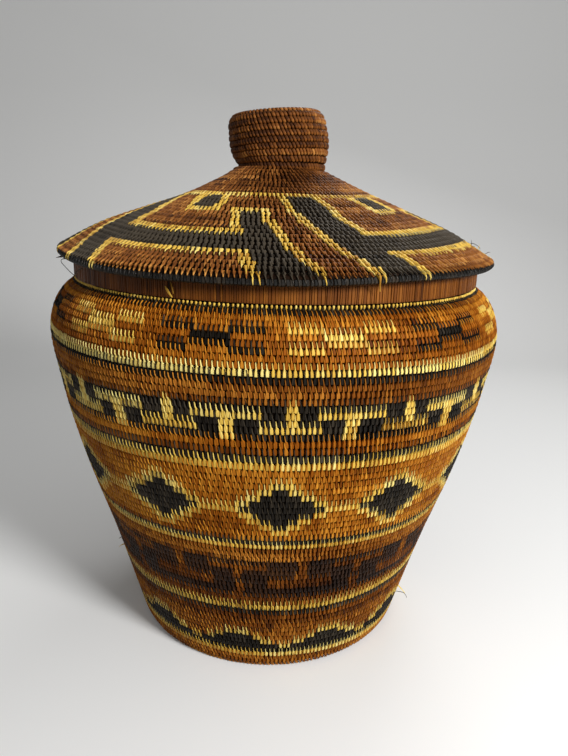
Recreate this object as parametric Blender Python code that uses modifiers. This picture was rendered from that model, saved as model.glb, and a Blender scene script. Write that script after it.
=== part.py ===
"""Lidded coiled basket: a flaring root-fibre body, a wrapped neck hoop and a domed lid with a coiled knob.

The body and the lid are built as their maker coils them, round upon round, so each band of the pattern is a
ring of true rounds that stands on the band below it. The outline curves hold the real shape, and every round's
place follows from its distance along them.

Units are metres and +Z is up. The origin is the middle of the underside, where the basket stands.
"""

import math
from dataclasses import dataclass

import bpy

# Driving dimensions of the whole basket
SIDES = 24                   # facets round the body and the lid
KNOB_SIDES = 16              # facets round the knob
GAP = 0.0003                 # clearance left between pieces that touch
WALL = 0.0062                # thickness of one coil with its splint wrapping
ROUND_DEPTH = 0.0016         # how far the groove between two rounds sinks in

# Outline of the body's outside, from the foot to the mouth: (radius, height)
BODY_OUTLINE = (
    (0.1545, 0.0068),
    (0.1668, 0.0518),
    (0.1868, 0.1231),
    (0.2093, 0.1944),
    (0.2250, 0.2537),
    (0.2345, 0.3013),
    (0.2400, 0.3369),
    (0.2376, 0.3607),
    (0.2283, 0.3797),
    (0.2110, 0.3950),
)

# Outline of the lid's outside, from the knob's foot to the brim coil: (radius, height)
LID_OUTLINE = (
    (0.0440, 0.5066),
    (0.0737, 0.4930),
    (0.1029, 0.4804),
    (0.1426, 0.4643),
    (0.1853, 0.4462),
    (0.2256, 0.4228),
)

# Outline of the knob while upright, from its foot to the middle of its crown: (radius, height)
KNOB_OUTLINE = (
    (0.0438, 0.5053),
    (0.0453, 0.5120),
    (0.0482, 0.5190),
    (0.0504, 0.5280),
    (0.0508, 0.5370),
    (0.0499, 0.5460),
    (0.0492, 0.5530),
    (0.0447, 0.5599),
    (0.0347, 0.5609),
    (0.0200, 0.5622),
    (0.0000, 0.5624),
)

BASE_RADIUS = 0.1540
BASE_THICKNESS = 0.0065
BASE_EDGE = 0.0028
START_COIL_RADIUS = 0.0120

HOOP_RADIUS = 0.2156
HOOP_THICKNESS = 0.0056
HOOP_FOOT = 0.3953

FLANGE_RADIUS = 0.2078
FLANGE_THICKNESS = 0.0050
FLANGE_FOOT = 0.4010

BRIM_COIL = 0.0068           # thickness of the black coil that ends the lid

KNOB_NECK_TOP = 0.5240
KNOB_SHOULDER = 0.5585
KNOB_NECK_ROUNDS = 3
KNOB_BODY_ROUNDS = 6
KNOB_CROWN_ROUNDS = 7
KNOB_ASIDE = 0.0036          # how far towards +X the knob's foot stands
KNOB_LEAN = 0.150            # sideways run of the knob towards -X for each metre that it rises
KNOB_TIP = math.radians(4.6)  # how far each round above the neck is tipped, with its +X side up

CURVE_STEPS = 24             # samples between two outline points


@dataclass(frozen=True)
class Fibre:
    """One dye of the root splints: viewport and render colour and how rough it is."""

    name: str
    colour: tuple
    roughness: float


BROWN = Fibre("brown_root", (0.255, 0.098, 0.030), 0.55)
RUSSET = Fibre("russet_root", (0.330, 0.130, 0.036), 0.52)
CREAM = Fibre("cream_root", (0.720, 0.560, 0.260), 0.50)
BLACK = Fibre("black_root", (0.020, 0.017, 0.015), 0.48)
DUSK = Fibre("dark_brown_root", (0.060, 0.032, 0.020), 0.52)
SPLINT = Fibre("neck_splint", (0.215, 0.095, 0.034), 0.60)


@dataclass(frozen=True)
class Band:
    """A run of coil rounds that share one stretch of the pattern."""

    name: str
    rounds: int
    pitch: float
    fibre: Fibre


# Bands of the body from the mouth down to the foot
BODY_BANDS = (
    Band("rim_cream_round", 1, 0.00700, CREAM),
    Band("rim_black_round", 1, 0.00510, BLACK),
    Band("shoulder_checker_band", 8, 0.00567, RUSSET),
    Band("shoulder_cream_round", 1, 0.00610, CREAM),
    Band("shoulder_black_round", 1, 0.00630, BLACK),
    Band("brown_rounds_above_tee_band", 3, 0.00603, BROWN),
    Band("interlocking_tee_band", 5, 0.00664, BLACK),
    Band("brown_rounds_below_tee_band", 2, 0.00700, BROWN),
    Band("upper_belly_black_round", 1, 0.00770, BLACK),
    Band("upper_belly_cream_round", 1, 0.00770, CREAM),
    Band("diamond_band", 12, 0.00676, RUSSET),
    Band("lower_belly_black_round", 1, 0.00540, BLACK),
    Band("lower_belly_cream_round", 1, 0.00540, CREAM),
    Band("brown_rounds_above_key_band", 3, 0.00582, BROWN),
    Band("dark_key_band", 8, 0.00623, DUSK),
    Band("brown_rounds_below_key_band", 2, 0.00592, BROWN),
    Band("taper_cream_round", 1, 0.00690, CREAM),
    Band("taper_black_round", 1, 0.00690, BLACK),
    Band("brown_rounds_above_hill_band", 4, 0.00638, BROWN),
    Band("hill_band", 5, 0.00635, BLACK),
    Band("foot_cream_round", 1, 0.00640, CREAM),
    Band("foot_rounds", 2, 0.00540, BROWN),
)

# Bands of the lid from the knob's foot out to the brim
LID_BANDS = (
    Band("lid_crown_rounds", 9, 0.00677, BROWN),
    Band("lid_cream_round", 1, 0.00677, CREAM),
    Band("lid_upper_key_rounds", 4, 0.00677, RUSSET),
    Band("lid_middle_key_rounds", 6, 0.00677, BROWN),
    Band("lid_black_arm_rounds", 5, 0.00677, BLACK),
    Band("lid_lower_rounds", 5, 0.00677, RUSSET),
)


class Outline:
    """A smooth curve through a few named points, read by its length from the first one."""

    def __init__(self, points):
        self.samples = self._smooth(points)
        self.lengths = [0.0]
        for here, there in zip(self.samples, self.samples[1:]):
            step = math.hypot(there[0] - here[0], there[1] - here[1])
            self.lengths.append(self.lengths[-1] + step)

    @staticmethod
    def _smooth(points):
        """Catmull-Rom curve through the points, with the ends carried on in a straight line."""
        first = tuple(2 * a - b for a, b in zip(points[0], points[1]))
        last = tuple(2 * a - b for a, b in zip(points[-1], points[-2]))
        guide = (first, *points, last)
        samples = []
        for before, start, end, after in zip(guide, guide[1:], guide[2:], guide[3:]):
            for step in range(CURVE_STEPS):
                t = step / CURVE_STEPS
                samples.append(tuple(
                    0.5 * (2 * b + (c - a) * t + (2 * a - 5 * b + 4 * c - d) * t ** 2
                           + (3 * b - a - 3 * c + d) * t ** 3)
                    for a, b, c, d in zip(before, start, end, after)))
        samples.append(tuple(points[-1]))
        return samples

    @property
    def length(self):
        return self.lengths[-1]

    def point(self, distance):
        """Radius and height at a distance along the curve."""
        distance = min(max(distance, 0.0), self.length)
        for index, reached in enumerate(self.lengths[1:]):
            if reached >= distance:
                span = reached - self.lengths[index]
                t = (distance - self.lengths[index]) / span
                here, there = self.samples[index], self.samples[index + 1]
                return (here[0] + (there[0] - here[0]) * t, here[1] + (there[1] - here[1]) * t)
        return self.samples[-1]

    def offset(self, distance, depth):
        """The point that lies a depth inside the curve, which runs down the outside of the basket."""
        back = self.point(distance - 0.002)
        ahead = self.point(distance + 0.002)
        run = math.hypot(ahead[0] - back[0], ahead[1] - back[1])
        inward = ((ahead[1] - back[1]) / run, (back[0] - ahead[0]) / run)
        radius, height = self.point(distance)
        return (radius + inward[0] * depth, height + inward[1] * depth)


def fibre_material(fibre):
    """Principled material of one fibre colour, made once and shared."""
    material = bpy.data.materials.get(fibre.name)
    if material:
        return material
    material = bpy.data.materials.new(fibre.name)
    material.use_nodes = True
    shader = material.node_tree.nodes["Principled BSDF"]
    shader.inputs["Base Color"].default_value = (*fibre.colour, 1.0)
    shader.inputs["Roughness"].default_value = fibre.roughness
    shader.inputs["Metallic"].default_value = 0.0
    material.diffuse_color = (*fibre.colour, 1.0)
    return material


def corner_reach(sides):
    """How much farther out a facet's corners stand, so that corners and flats lie evenly about the true radius."""
    return 2 / (1 + math.cos(math.pi / sides))


def turned(name, profile, fibre, parent, closed=True, sides=SIDES):
    """A turned piece: its profile in the XZ plane is spun round the Z axis.

    The profile runs down the outside, top to bottom. A closed one makes a ring, an open one starts and ends on
    the axis and makes a full disc.
    """
    mesh = bpy.data.meshes.new(name)
    vertices = [(radius * corner_reach(sides), 0.0, height) for radius, height in profile]
    edges = [(index, index + 1) for index in range(len(profile) - 1)]
    if closed:
        edges.append((len(profile) - 1, 0))
    mesh.from_pydata(vertices, edges, [])
    piece = bpy.data.objects.new(name, mesh)
    parent.users_collection[0].objects.link(piece)
    piece.parent = parent
    spin = piece.modifiers.new("spin", 'SCREW')
    spin.axis = 'Z'
    spin.steps = sides
    spin.render_steps = sides
    spin.use_merge_vertices = True
    spin.merge_threshold = 0.00001
    spin.use_smooth_shade = True
    mesh.materials.append(fibre_material(fibre))
    return piece


def rounds_profile(outline, start, end, rounds):
    """Closed section of a band: grooved rounds on the outside, one plain coil thickness behind them."""
    pitch = (end - start) / rounds
    outside = []
    for index in range(rounds):
        outside.append(outline.offset(start + index * pitch, ROUND_DEPTH))
        outside.append(outline.offset(start + (index + 0.5) * pitch, 0.0))
    outside.append(outline.offset(end, ROUND_DEPTH))
    return outside + [outline.offset(end, WALL), outline.offset(start, WALL)]


def body_bands(body):
    """The wall of the basket: one ring of rounds for each band, mouth first."""
    outline = Outline(tuple(reversed(BODY_OUTLINE)))
    stretch = outline.length / sum(band.rounds * band.pitch for band in BODY_BANDS)
    reached = 0.0
    for band in BODY_BANDS:
        end = reached + band.rounds * band.pitch * stretch
        profile = rounds_profile(outline, reached + GAP / 2, end - GAP / 2, band.rounds)
        turned(band.name, profile, band.fibre, body)
        reached = end


def base(body):
    """The flat base: the start of the coil in the middle and the rounds that grow from it."""
    top = BASE_THICKNESS
    hole = START_COIL_RADIUS + GAP
    turned("base_rounds", [
        (hole, top),
        (BASE_RADIUS, top),
        (BASE_RADIUS, BASE_EDGE),
        (BASE_RADIUS - BASE_EDGE, 0.0),
        (hole, 0.0),
    ], BROWN, body)
    turned("base_start_coil", [
        (0.0, top + ROUND_DEPTH),
        (START_COIL_RADIUS * 0.7, top + ROUND_DEPTH),
        (START_COIL_RADIUS, top),
        (START_COIL_RADIUS, 0.0),
        (0.0, 0.0),
    ], BROWN, body, closed=False)


def lid_underside(outline, radius):
    """Height of the lid's underside at a radius."""
    low, high = 0.0, outline.length
    for _ in range(40):
        middle = (low + high) / 2
        if outline.offset(middle, WALL)[0] < radius:
            low = middle
        else:
            high = middle
    return outline.offset(low, WALL)[1]


def neck_hoop(body):
    """The upright hoop of splints on the mouth, on whose upper edge the lid rests."""
    outline = Outline(LID_OUTLINE)
    inner = HOOP_RADIUS - HOOP_THICKNESS
    top = lid_underside(outline, HOOP_RADIUS) - GAP
    turned("neck_hoop", [
        (inner, top),
        (HOOP_RADIUS, top),
        (HOOP_RADIUS, HOOP_FOOT),
        (inner, HOOP_FOOT),
    ], SPLINT, body)


def lid_bands(lid):
    """The lid's slope: the plain crown under the knob and a ring of rounds for each band."""
    outline = Outline(LID_OUTLINE)
    stretch = outline.length / sum(band.rounds * band.pitch for band in LID_BANDS)
    reached = 0.0
    for band in LID_BANDS:
        end = reached + band.rounds * band.pitch * stretch
        if reached:
            profile = rounds_profile(outline, reached + GAP / 2, end - GAP / 2, band.rounds)
            turned(band.name, profile, band.fibre, lid)
        else:
            profile = rounds_profile(outline, reached, end - GAP / 2, band.rounds)
            outside = profile[:2 * band.rounds + 1]
            crown_top = outside[0][1]
            under = profile[2 * band.rounds + 1:]
            turned(band.name, [(0.0, crown_top), *outside, *under, (0.0, under[-1][1])],
                   band.fibre, lid, closed=False)
        reached = end
    brim_coil(lid, outline)


def brim_coil(lid, outline):
    """The thick black-wrapped coil that ends the lid, rounded on its outside."""
    top = outline.offset(outline.length, ROUND_DEPTH * 0.5)
    bottom = outline.offset(outline.length, WALL)
    run = math.hypot(top[0] - bottom[0], top[1] - bottom[1])
    across = ((top[0] - bottom[0]) / run, (top[1] - bottom[1]) / run)
    along = (across[1], -across[0])
    middle = ((top[0] + bottom[0]) / 2, (top[1] + bottom[1]) / 2)
    half = BRIM_COIL / 2
    section = []
    for index in range(5):
        turn = math.radians(90 - 45 * index)
        reach = GAP + half * 0.9 + half * math.cos(turn)
        lift = half * math.sin(turn)
        section.append((middle[0] + along[0] * reach + across[0] * lift,
                        middle[1] + along[1] * reach + across[1] * lift))
    for lift in (-half * 0.8, half * 0.8):
        section.append((middle[0] + along[0] * GAP + across[0] * lift,
                        middle[1] + along[1] * GAP + across[1] * lift))
    turned("lid_brim_coil", section, BLACK, lid)


def locating_flange(lid):
    """The ring under the lid that drops inside the neck hoop and keeps the lid centred."""
    outline = Outline(LID_OUTLINE)
    inner = FLANGE_RADIUS - FLANGE_THICKNESS
    turned("lid_locating_flange", [
        (inner, lid_underside(outline, inner) - GAP),
        (FLANGE_RADIUS, lid_underside(outline, FLANGE_RADIUS) - GAP),
        (FLANGE_RADIUS, FLANGE_FOOT),
        (inner, FLANGE_FOOT),
    ], BROWN, lid)


def knob(lid):
    """The coiled knob: a narrow neck that flares, a barrel and a low crown."""
    outline = Outline(tuple(reversed(KNOB_OUTLINE)))
    shoulder = distance_at_height(outline, KNOB_SHOULDER)
    neck = distance_at_height(outline, KNOB_NECK_TOP)
    knob_piece(lid, "knob_crown", outline, 0.0, shoulder, KNOB_CROWN_ROUNDS)
    knob_piece(lid, "knob_barrel", outline, shoulder, neck, KNOB_BODY_ROUNDS)
    knob_piece(lid, "knob_neck", outline, neck, outline.length, KNOB_NECK_ROUNDS)


def distance_at_height(outline, height):
    """Length along a falling outline at which it has come down to a height."""
    low, high = 0.0, outline.length
    for _ in range(40):
        middle = (low + high) / 2
        if outline.point(middle)[1] > height:
            low = middle
        else:
            high = middle
    return low


def knob_piece(lid, name, outline, start, end, rounds):
    """A solid slice of the knob between two lengths of its outline, with its grooved rounds."""
    pitch = (end - start) / rounds
    top = outline.point(start)[1] - (GAP / 2 if start else 0.0)
    bottom = outline.point(end)[1] + GAP / 2
    outside = []
    for index in range(rounds):
        groove = outline.offset(start + index * pitch, ROUND_DEPTH)
        crest = outline.point(start + (index + 0.5) * pitch)
        if index or start:
            outside.append((groove[0], top if index == 0 else groove[1]))
        outside.append(crest)
    last = outline.offset(end, ROUND_DEPTH)
    outside.append((last[0], bottom))
    profile = [(0.0, top), *outside, (0.0, bottom)]
    set_askew(turned(name, profile, BROWN, lid, closed=False, sides=KNOB_SIDES))


def set_askew(piece):
    """Stand a turned piece of the knob askew: its foot stays level, what is above is tipped and set over."""
    spun = piece.evaluated_get(bpy.context.evaluated_depsgraph_get())
    piece.data = bpy.data.meshes.new_from_object(spun)
    piece.modifiers.clear()
    foot = KNOB_OUTLINE[0][1]
    for vertex in piece.data.vertices:
        across, depth, height = vertex.co
        rise = height - foot
        turn = KNOB_TIP * min(max(rise / (KNOB_NECK_TOP - foot), 0.0), 1.0)
        vertex.co = (
            KNOB_ASIDE - KNOB_LEAN * rise + across * math.cos(turn),
            depth,
            height + across * math.sin(turn),
        )
    piece.data.update()


def empty_parent(name, collection):
    """An empty at the origin that carries one of the two bodies."""
    holder = bpy.data.objects.new(name, None)
    collection.objects.link(holder)
    return holder


def main():
    """Clear the scene and build the basket with its lid in place."""
    for item in list(bpy.data.objects):
        bpy.data.objects.remove(item, do_unlink=True)
    collection = bpy.data.collections.new("lidded_coiled_basket")
    bpy.context.scene.collection.children.link(collection)

    body = empty_parent("basket_body", collection)
    base(body)
    body_bands(body)
    neck_hoop(body)

    lid = empty_parent("basket_lid", collection)
    lid_bands(lid)
    locating_flange(lid)
    knob(lid)


main()
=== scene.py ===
"""Finished look of a large lidded basket, coiled from thin rods and sewn over with dyed root splints.

The body's wall, the lid, the knob and the base are each built as the maker coils them: ribbed rounds of rods,
and over them one row of splint stitches for each round. The pattern says for each band which dye a stitch has
at its round and bearing. Bearings are in degrees round the basket, 0 at the front and growing to the right as
seen from outside. Units are metres and +Z is up.
"""

import logging
import math
from dataclasses import dataclass
from enum import Enum
from functools import cached_property
from typing import Callable, Sequence

import bpy
import numpy as np
from mathutils import Matrix, Vector


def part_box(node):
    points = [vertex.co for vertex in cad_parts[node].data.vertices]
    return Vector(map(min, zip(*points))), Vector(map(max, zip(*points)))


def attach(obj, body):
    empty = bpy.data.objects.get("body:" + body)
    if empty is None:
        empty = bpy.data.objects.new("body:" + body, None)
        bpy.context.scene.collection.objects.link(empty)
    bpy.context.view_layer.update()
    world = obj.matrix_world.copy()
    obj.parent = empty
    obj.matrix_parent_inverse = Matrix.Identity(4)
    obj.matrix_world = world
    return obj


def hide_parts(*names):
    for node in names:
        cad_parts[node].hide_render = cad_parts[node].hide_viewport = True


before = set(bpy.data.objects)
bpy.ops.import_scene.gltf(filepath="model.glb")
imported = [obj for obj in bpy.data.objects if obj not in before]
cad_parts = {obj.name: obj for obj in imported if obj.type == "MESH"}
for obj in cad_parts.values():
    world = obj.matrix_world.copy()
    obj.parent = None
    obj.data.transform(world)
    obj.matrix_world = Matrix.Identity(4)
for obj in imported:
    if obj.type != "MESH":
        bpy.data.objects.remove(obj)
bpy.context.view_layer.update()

log = logging.getLogger("basket")

Node = bpy.types.Node
Socket = bpy.types.NodeSocket
Tree = bpy.types.NodeTree
Material = bpy.types.Material
Mesh = bpy.types.Mesh
Piece = bpy.types.Object
Colour = tuple[float, float, float]
BODY = "basket_body"
LID = "basket_lid"

# Outlines as (radius, height), each read down the outside
BODY_OUTLINE = (
    (0.2110, 0.3950), (0.2283, 0.3797), (0.2376, 0.3607), (0.2400, 0.3369), (0.2345, 0.3013),
    (0.2250, 0.2537), (0.2093, 0.1944), (0.1868, 0.1231), (0.1668, 0.0518), (0.1545, 0.0068),
)
LID_OUTLINE = (
    (0.0440, 0.5066), (0.0737, 0.4930), (0.1029, 0.4804), (0.1426, 0.4643), (0.1853, 0.4462),
    (0.2256, 0.4228),
)
KNOB_OUTLINE = (
    (0.0000, 0.5624), (0.0200, 0.5622), (0.0347, 0.5609), (0.0447, 0.5599), (0.0492, 0.5530), (0.0499, 0.5460),
    (0.0508, 0.5370), (0.0504, 0.5280), (0.0482, 0.5190), (0.0453, 0.5120), (0.0438, 0.5053),
)
WALL = 0.0062                # one coil with its wrapping
GROOVE = 0.0028              # how deep under the stitches the rods' grooves lie
ROD_RISE = 0.0013            # how far the rods rise out of their grooves
BACK_RISE = 0.0011           # the same on the inside

# The knob stands askew: its foot is level, and above its neck every round is tipped and set over to the left
KNOB_FOOT = KNOB_OUTLINE[-1][1]
KNOB_NECK_TOP = 0.5240       # height at which the barrel starts
KNOB_SHOULDER = 0.5585       # height at which the crown starts
KNOB_ASIDE = 0.0036          # how far to +X the foot stands
KNOB_LEAN = 0.150            # run towards -X for each metre that it rises
KNOB_TIP = math.radians(4.6)     # how far its rounds are tipped above the neck

# How far the handmade lid has sunk from an even outline, as (radius, drop): at its front and on its left side
FRONT_SAG = (
    (0.046, 0.0000), (0.060, 0.0014), (0.090, 0.0018), (0.115, 0.0020), (0.130, 0.0027), (0.145, 0.0038),
    (0.170, 0.0043), (0.188, 0.0050), (0.197, 0.0044), (0.206, 0.0030), (0.215, 0.0012), (0.220, 0.0006),
    (0.230, 0.0006),
)
LEFT_SAG = (
    (0.046, 0.0006), (0.060, 0.0030), (0.090, 0.0046), (0.110, 0.0040), (0.135, 0.0018), (0.160, 0.0002),
    (0.190, -0.0016), (0.215, -0.0034), (0.230, -0.0040),
)
# Where each sag lies round the lid: its middle, its reach and its even part, in degrees
SAGS = ((FRONT_SAG, (0.0, 68.0, 28.0)), (LEFT_SAG, (-95.0, 52.0, 12.0)))

# How much lower than in front the wall's rounds lie on each side of the body, as (height, drop)
LEFT_WANDER = (
    (0.007, 0.0), (0.020, 0.0), (0.055, 0.001), (0.088, 0.005), (0.122, 0.004), (0.170, 0.0035),
    (0.213, 0.0055), (0.266, 0.006), (0.315, 0.005), (0.345, 0.0015), (0.365, 0.001), (0.395, 0.0),
)
RIGHT_WANDER = (
    (0.007, 0.0), (0.020, 0.004), (0.055, 0.0), (0.088, -0.004), (0.122, 0.003), (0.170, 0.003),
    (0.213, 0.0045), (0.266, 0.005), (0.315, 0.005), (0.345, 0.004), (0.365, 0.002), (0.395, 0.0),
)
LEVEL_FRONT = (0.0, 50.0, 8.0)       # where the rounds are level: middle, reach and even part, in degrees
SIDE_CHANGE = 0.65                   # how quickly the left side's drop turns into the right side's

# At the front the brim hangs farther down, and one more part round lies above it
BRIM_DROP = 0.0034
BRIM_FRONT = (-13.0, 47.0, 14.0)     # where it hangs: middle, reach and even part, in degrees
PART_ROUND_FROM = 0.3 * BRIM_DROP    # the part round lies where the brim hangs by more
PART_ROUND_SPAN = (0.2245, 0.0040)   # the radius where the part round starts, and how wide it is

Reshaping = Callable[[np.ndarray], np.ndarray]


class Dye(Enum):
    """The dyes of the root splints, with the record's material slot of each."""

    BROWN = "brown_root"
    RUSSET = "russet_root"
    CREAM = "cream_root"
    BLACK = "black_root"
    DUSK = "dark_brown_root"


# Node trees


class Graph:
    """A node tree under construction, with short calls for adding and joining nodes."""

    def __init__(self, tree: Tree) -> None:
        """Start on a tree, which is empty or has its default nodes."""
        self.tree = tree
        self.given: bpy.types.NodeOutputs | None = None

    @classmethod
    def group(cls, name: str, kind: str, inputs: dict[str, object], outputs: Sequence[str]) -> "Graph":
        """Start a node group.

        Args:
            name: the group's name.
            kind: the type of its tree.
            inputs: the default of each input, by the input's name.
            outputs: the outputs' names.

        Returns:
            The group's graph, whose inputs stand in its given.
        """
        graph = cls(bpy.data.node_groups.new(name, kind))
        for way, sockets in (('INPUT', inputs), ('OUTPUT', dict.fromkeys(outputs))):
            for label, default in sockets.items():
                usual = "Int" if isinstance(default, int) else "Float"
                made = graph.tree.interface.new_socket(
                    name=label, in_out=way,
                    socket_type="NodeSocket" + (label if label in ("Geometry", "Material") else usual))
                if default is not None:
                    made.default_value = default
        graph.given = graph.node("NodeGroupInput").outputs
        return graph

    def node(self, kind: str, inputs: dict | None = None, **settings: object) -> Node:
        """Add a node.

        Args:
            kind: the node's type name.
            inputs: values, sockets or nodes for its inputs, by name or index.
            settings: properties of the node itself.

        Returns:
            The new node.
        """
        made = self.tree.nodes.new(kind)
        for name, value in settings.items():
            setattr(made, name, value)
        for key, value in (inputs or {}).items():
            self.feed(made.inputs[key], value)
        return made

    def feed(self, socket: Socket, value: object) -> None:
        """Set a socket's value, or link it.

        Args:
            socket: the input.
            value: a plain value, another socket, or a node whose first output is meant.
        """
        if isinstance(value, Node):
            value = value.outputs[0]
        if isinstance(value, Socket):
            self.tree.links.new(value, socket)
        else:
            socket.default_value = value

    def shade(self, **inputs: object) -> None:
        """Feed the inputs of a material's shader, with the spaces in their names written as underscores."""
        shader = self.tree.nodes["Principled BSDF"]
        for name, value in inputs.items():
            self.feed(shader.inputs[name.replace("_", " ")], value)

    def math(self, operation: str, *values: object) -> Socket:
        """Add a Math node and return its result."""
        return self.node("ShaderNodeMath", dict(enumerate(values)), operation=operation).outputs[0]

    def plus(self, first: object, second: object) -> Socket:
        """The sum of two values."""
        return self.math('ADD', first, second)

    def minus(self, first: object, second: object) -> Socket:
        """The first value less the second."""
        return self.math('SUBTRACT', first, second)

    def times(self, first: object, second: object) -> Socket:
        """The product of two values."""
        return self.math('MULTIPLY', first, second)

    def xyz(self, x: object, y: object, z: object) -> Node:
        """Add a node that joins three values in a vector."""
        return self.node("ShaderNodeCombineXYZ", {0: x, 1: y, 2: z})

    def noise(self, place: object, scale: object, detail: float, roughness: float = 0.5) -> Socket:
        """Add a Noise Texture and return its value."""
        return self.node("ShaderNodeTexNoise", {
            "Vector": place, "Scale": scale, "Detail": detail, "Roughness": roughness}).outputs["Fac"]

    def ranged(self, value: object, low: float, high: float, start: float = 0.0, end: float = 1.0,
               way: str = 'LINEAR') -> Socket:
        """Add a Map Range node.

        Args:
            value: what it maps.
            low: the value that becomes the start.
            high: the value that becomes the end.
            start: the result at the low value.
            end: the result at the high value.
            way: how it runs from one to the other.

        Returns:
            The node's result.
        """
        return self.node("ShaderNodeMapRange", {
            "Value": value, "From Min": low, "From Max": high, "To Min": start, "To Max": end},
            interpolation_type=way).outputs[0]

    def bump(self, height: object, strength: float, distance: float) -> Node:
        """Add a Bump node."""
        return self.node("ShaderNodeBump", {"Strength": strength, "Distance": distance, "Height": height})

    def mix(self, factor: object, first: object, second: object) -> Socket:
        """Add a colour Mix node and return its result."""
        return self.node("ShaderNodeMix", {0: factor, 6: first, 7: second}, data_type='RGBA').outputs[2]

    def curve(self, value: object, heights: Sequence[float]) -> Socket:
        """Add a Float Curve.

        Args:
            value: where on the curve it is read, from 0 to 1.
            heights: the curve's values at even steps.

        Returns:
            The curve's value.
        """
        made = self.node("ShaderNodeFloatCurve", {"Value": value})
        points = made.mapping.curves[0].points
        for _ in heights[2:]:
            points.new(0.5, 0.5)
        for index, height in enumerate(heights):
            points[index].location = (index / (len(heights) - 1), height)
        made.mapping.update()
        return made.outputs[0]

    def ramp(self, value: object, stops: Sequence[tuple[float, Colour]]) -> Socket:
        """Add a Color Ramp.

        Args:
            value: where on the ramp it is read.
            stops: the place and colour of each stop.

        Returns:
            The ramp's colour.
        """
        made = self.node("ShaderNodeValToRGB", {0: value})
        elements = made.color_ramp.elements
        while len(elements) < len(stops):
            elements.new(1.0)
        for element, (place, colour) in zip(elements, stops):
            element.position = place
            element.color = (*colour, 1.0)
        return made.outputs[0]


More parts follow.
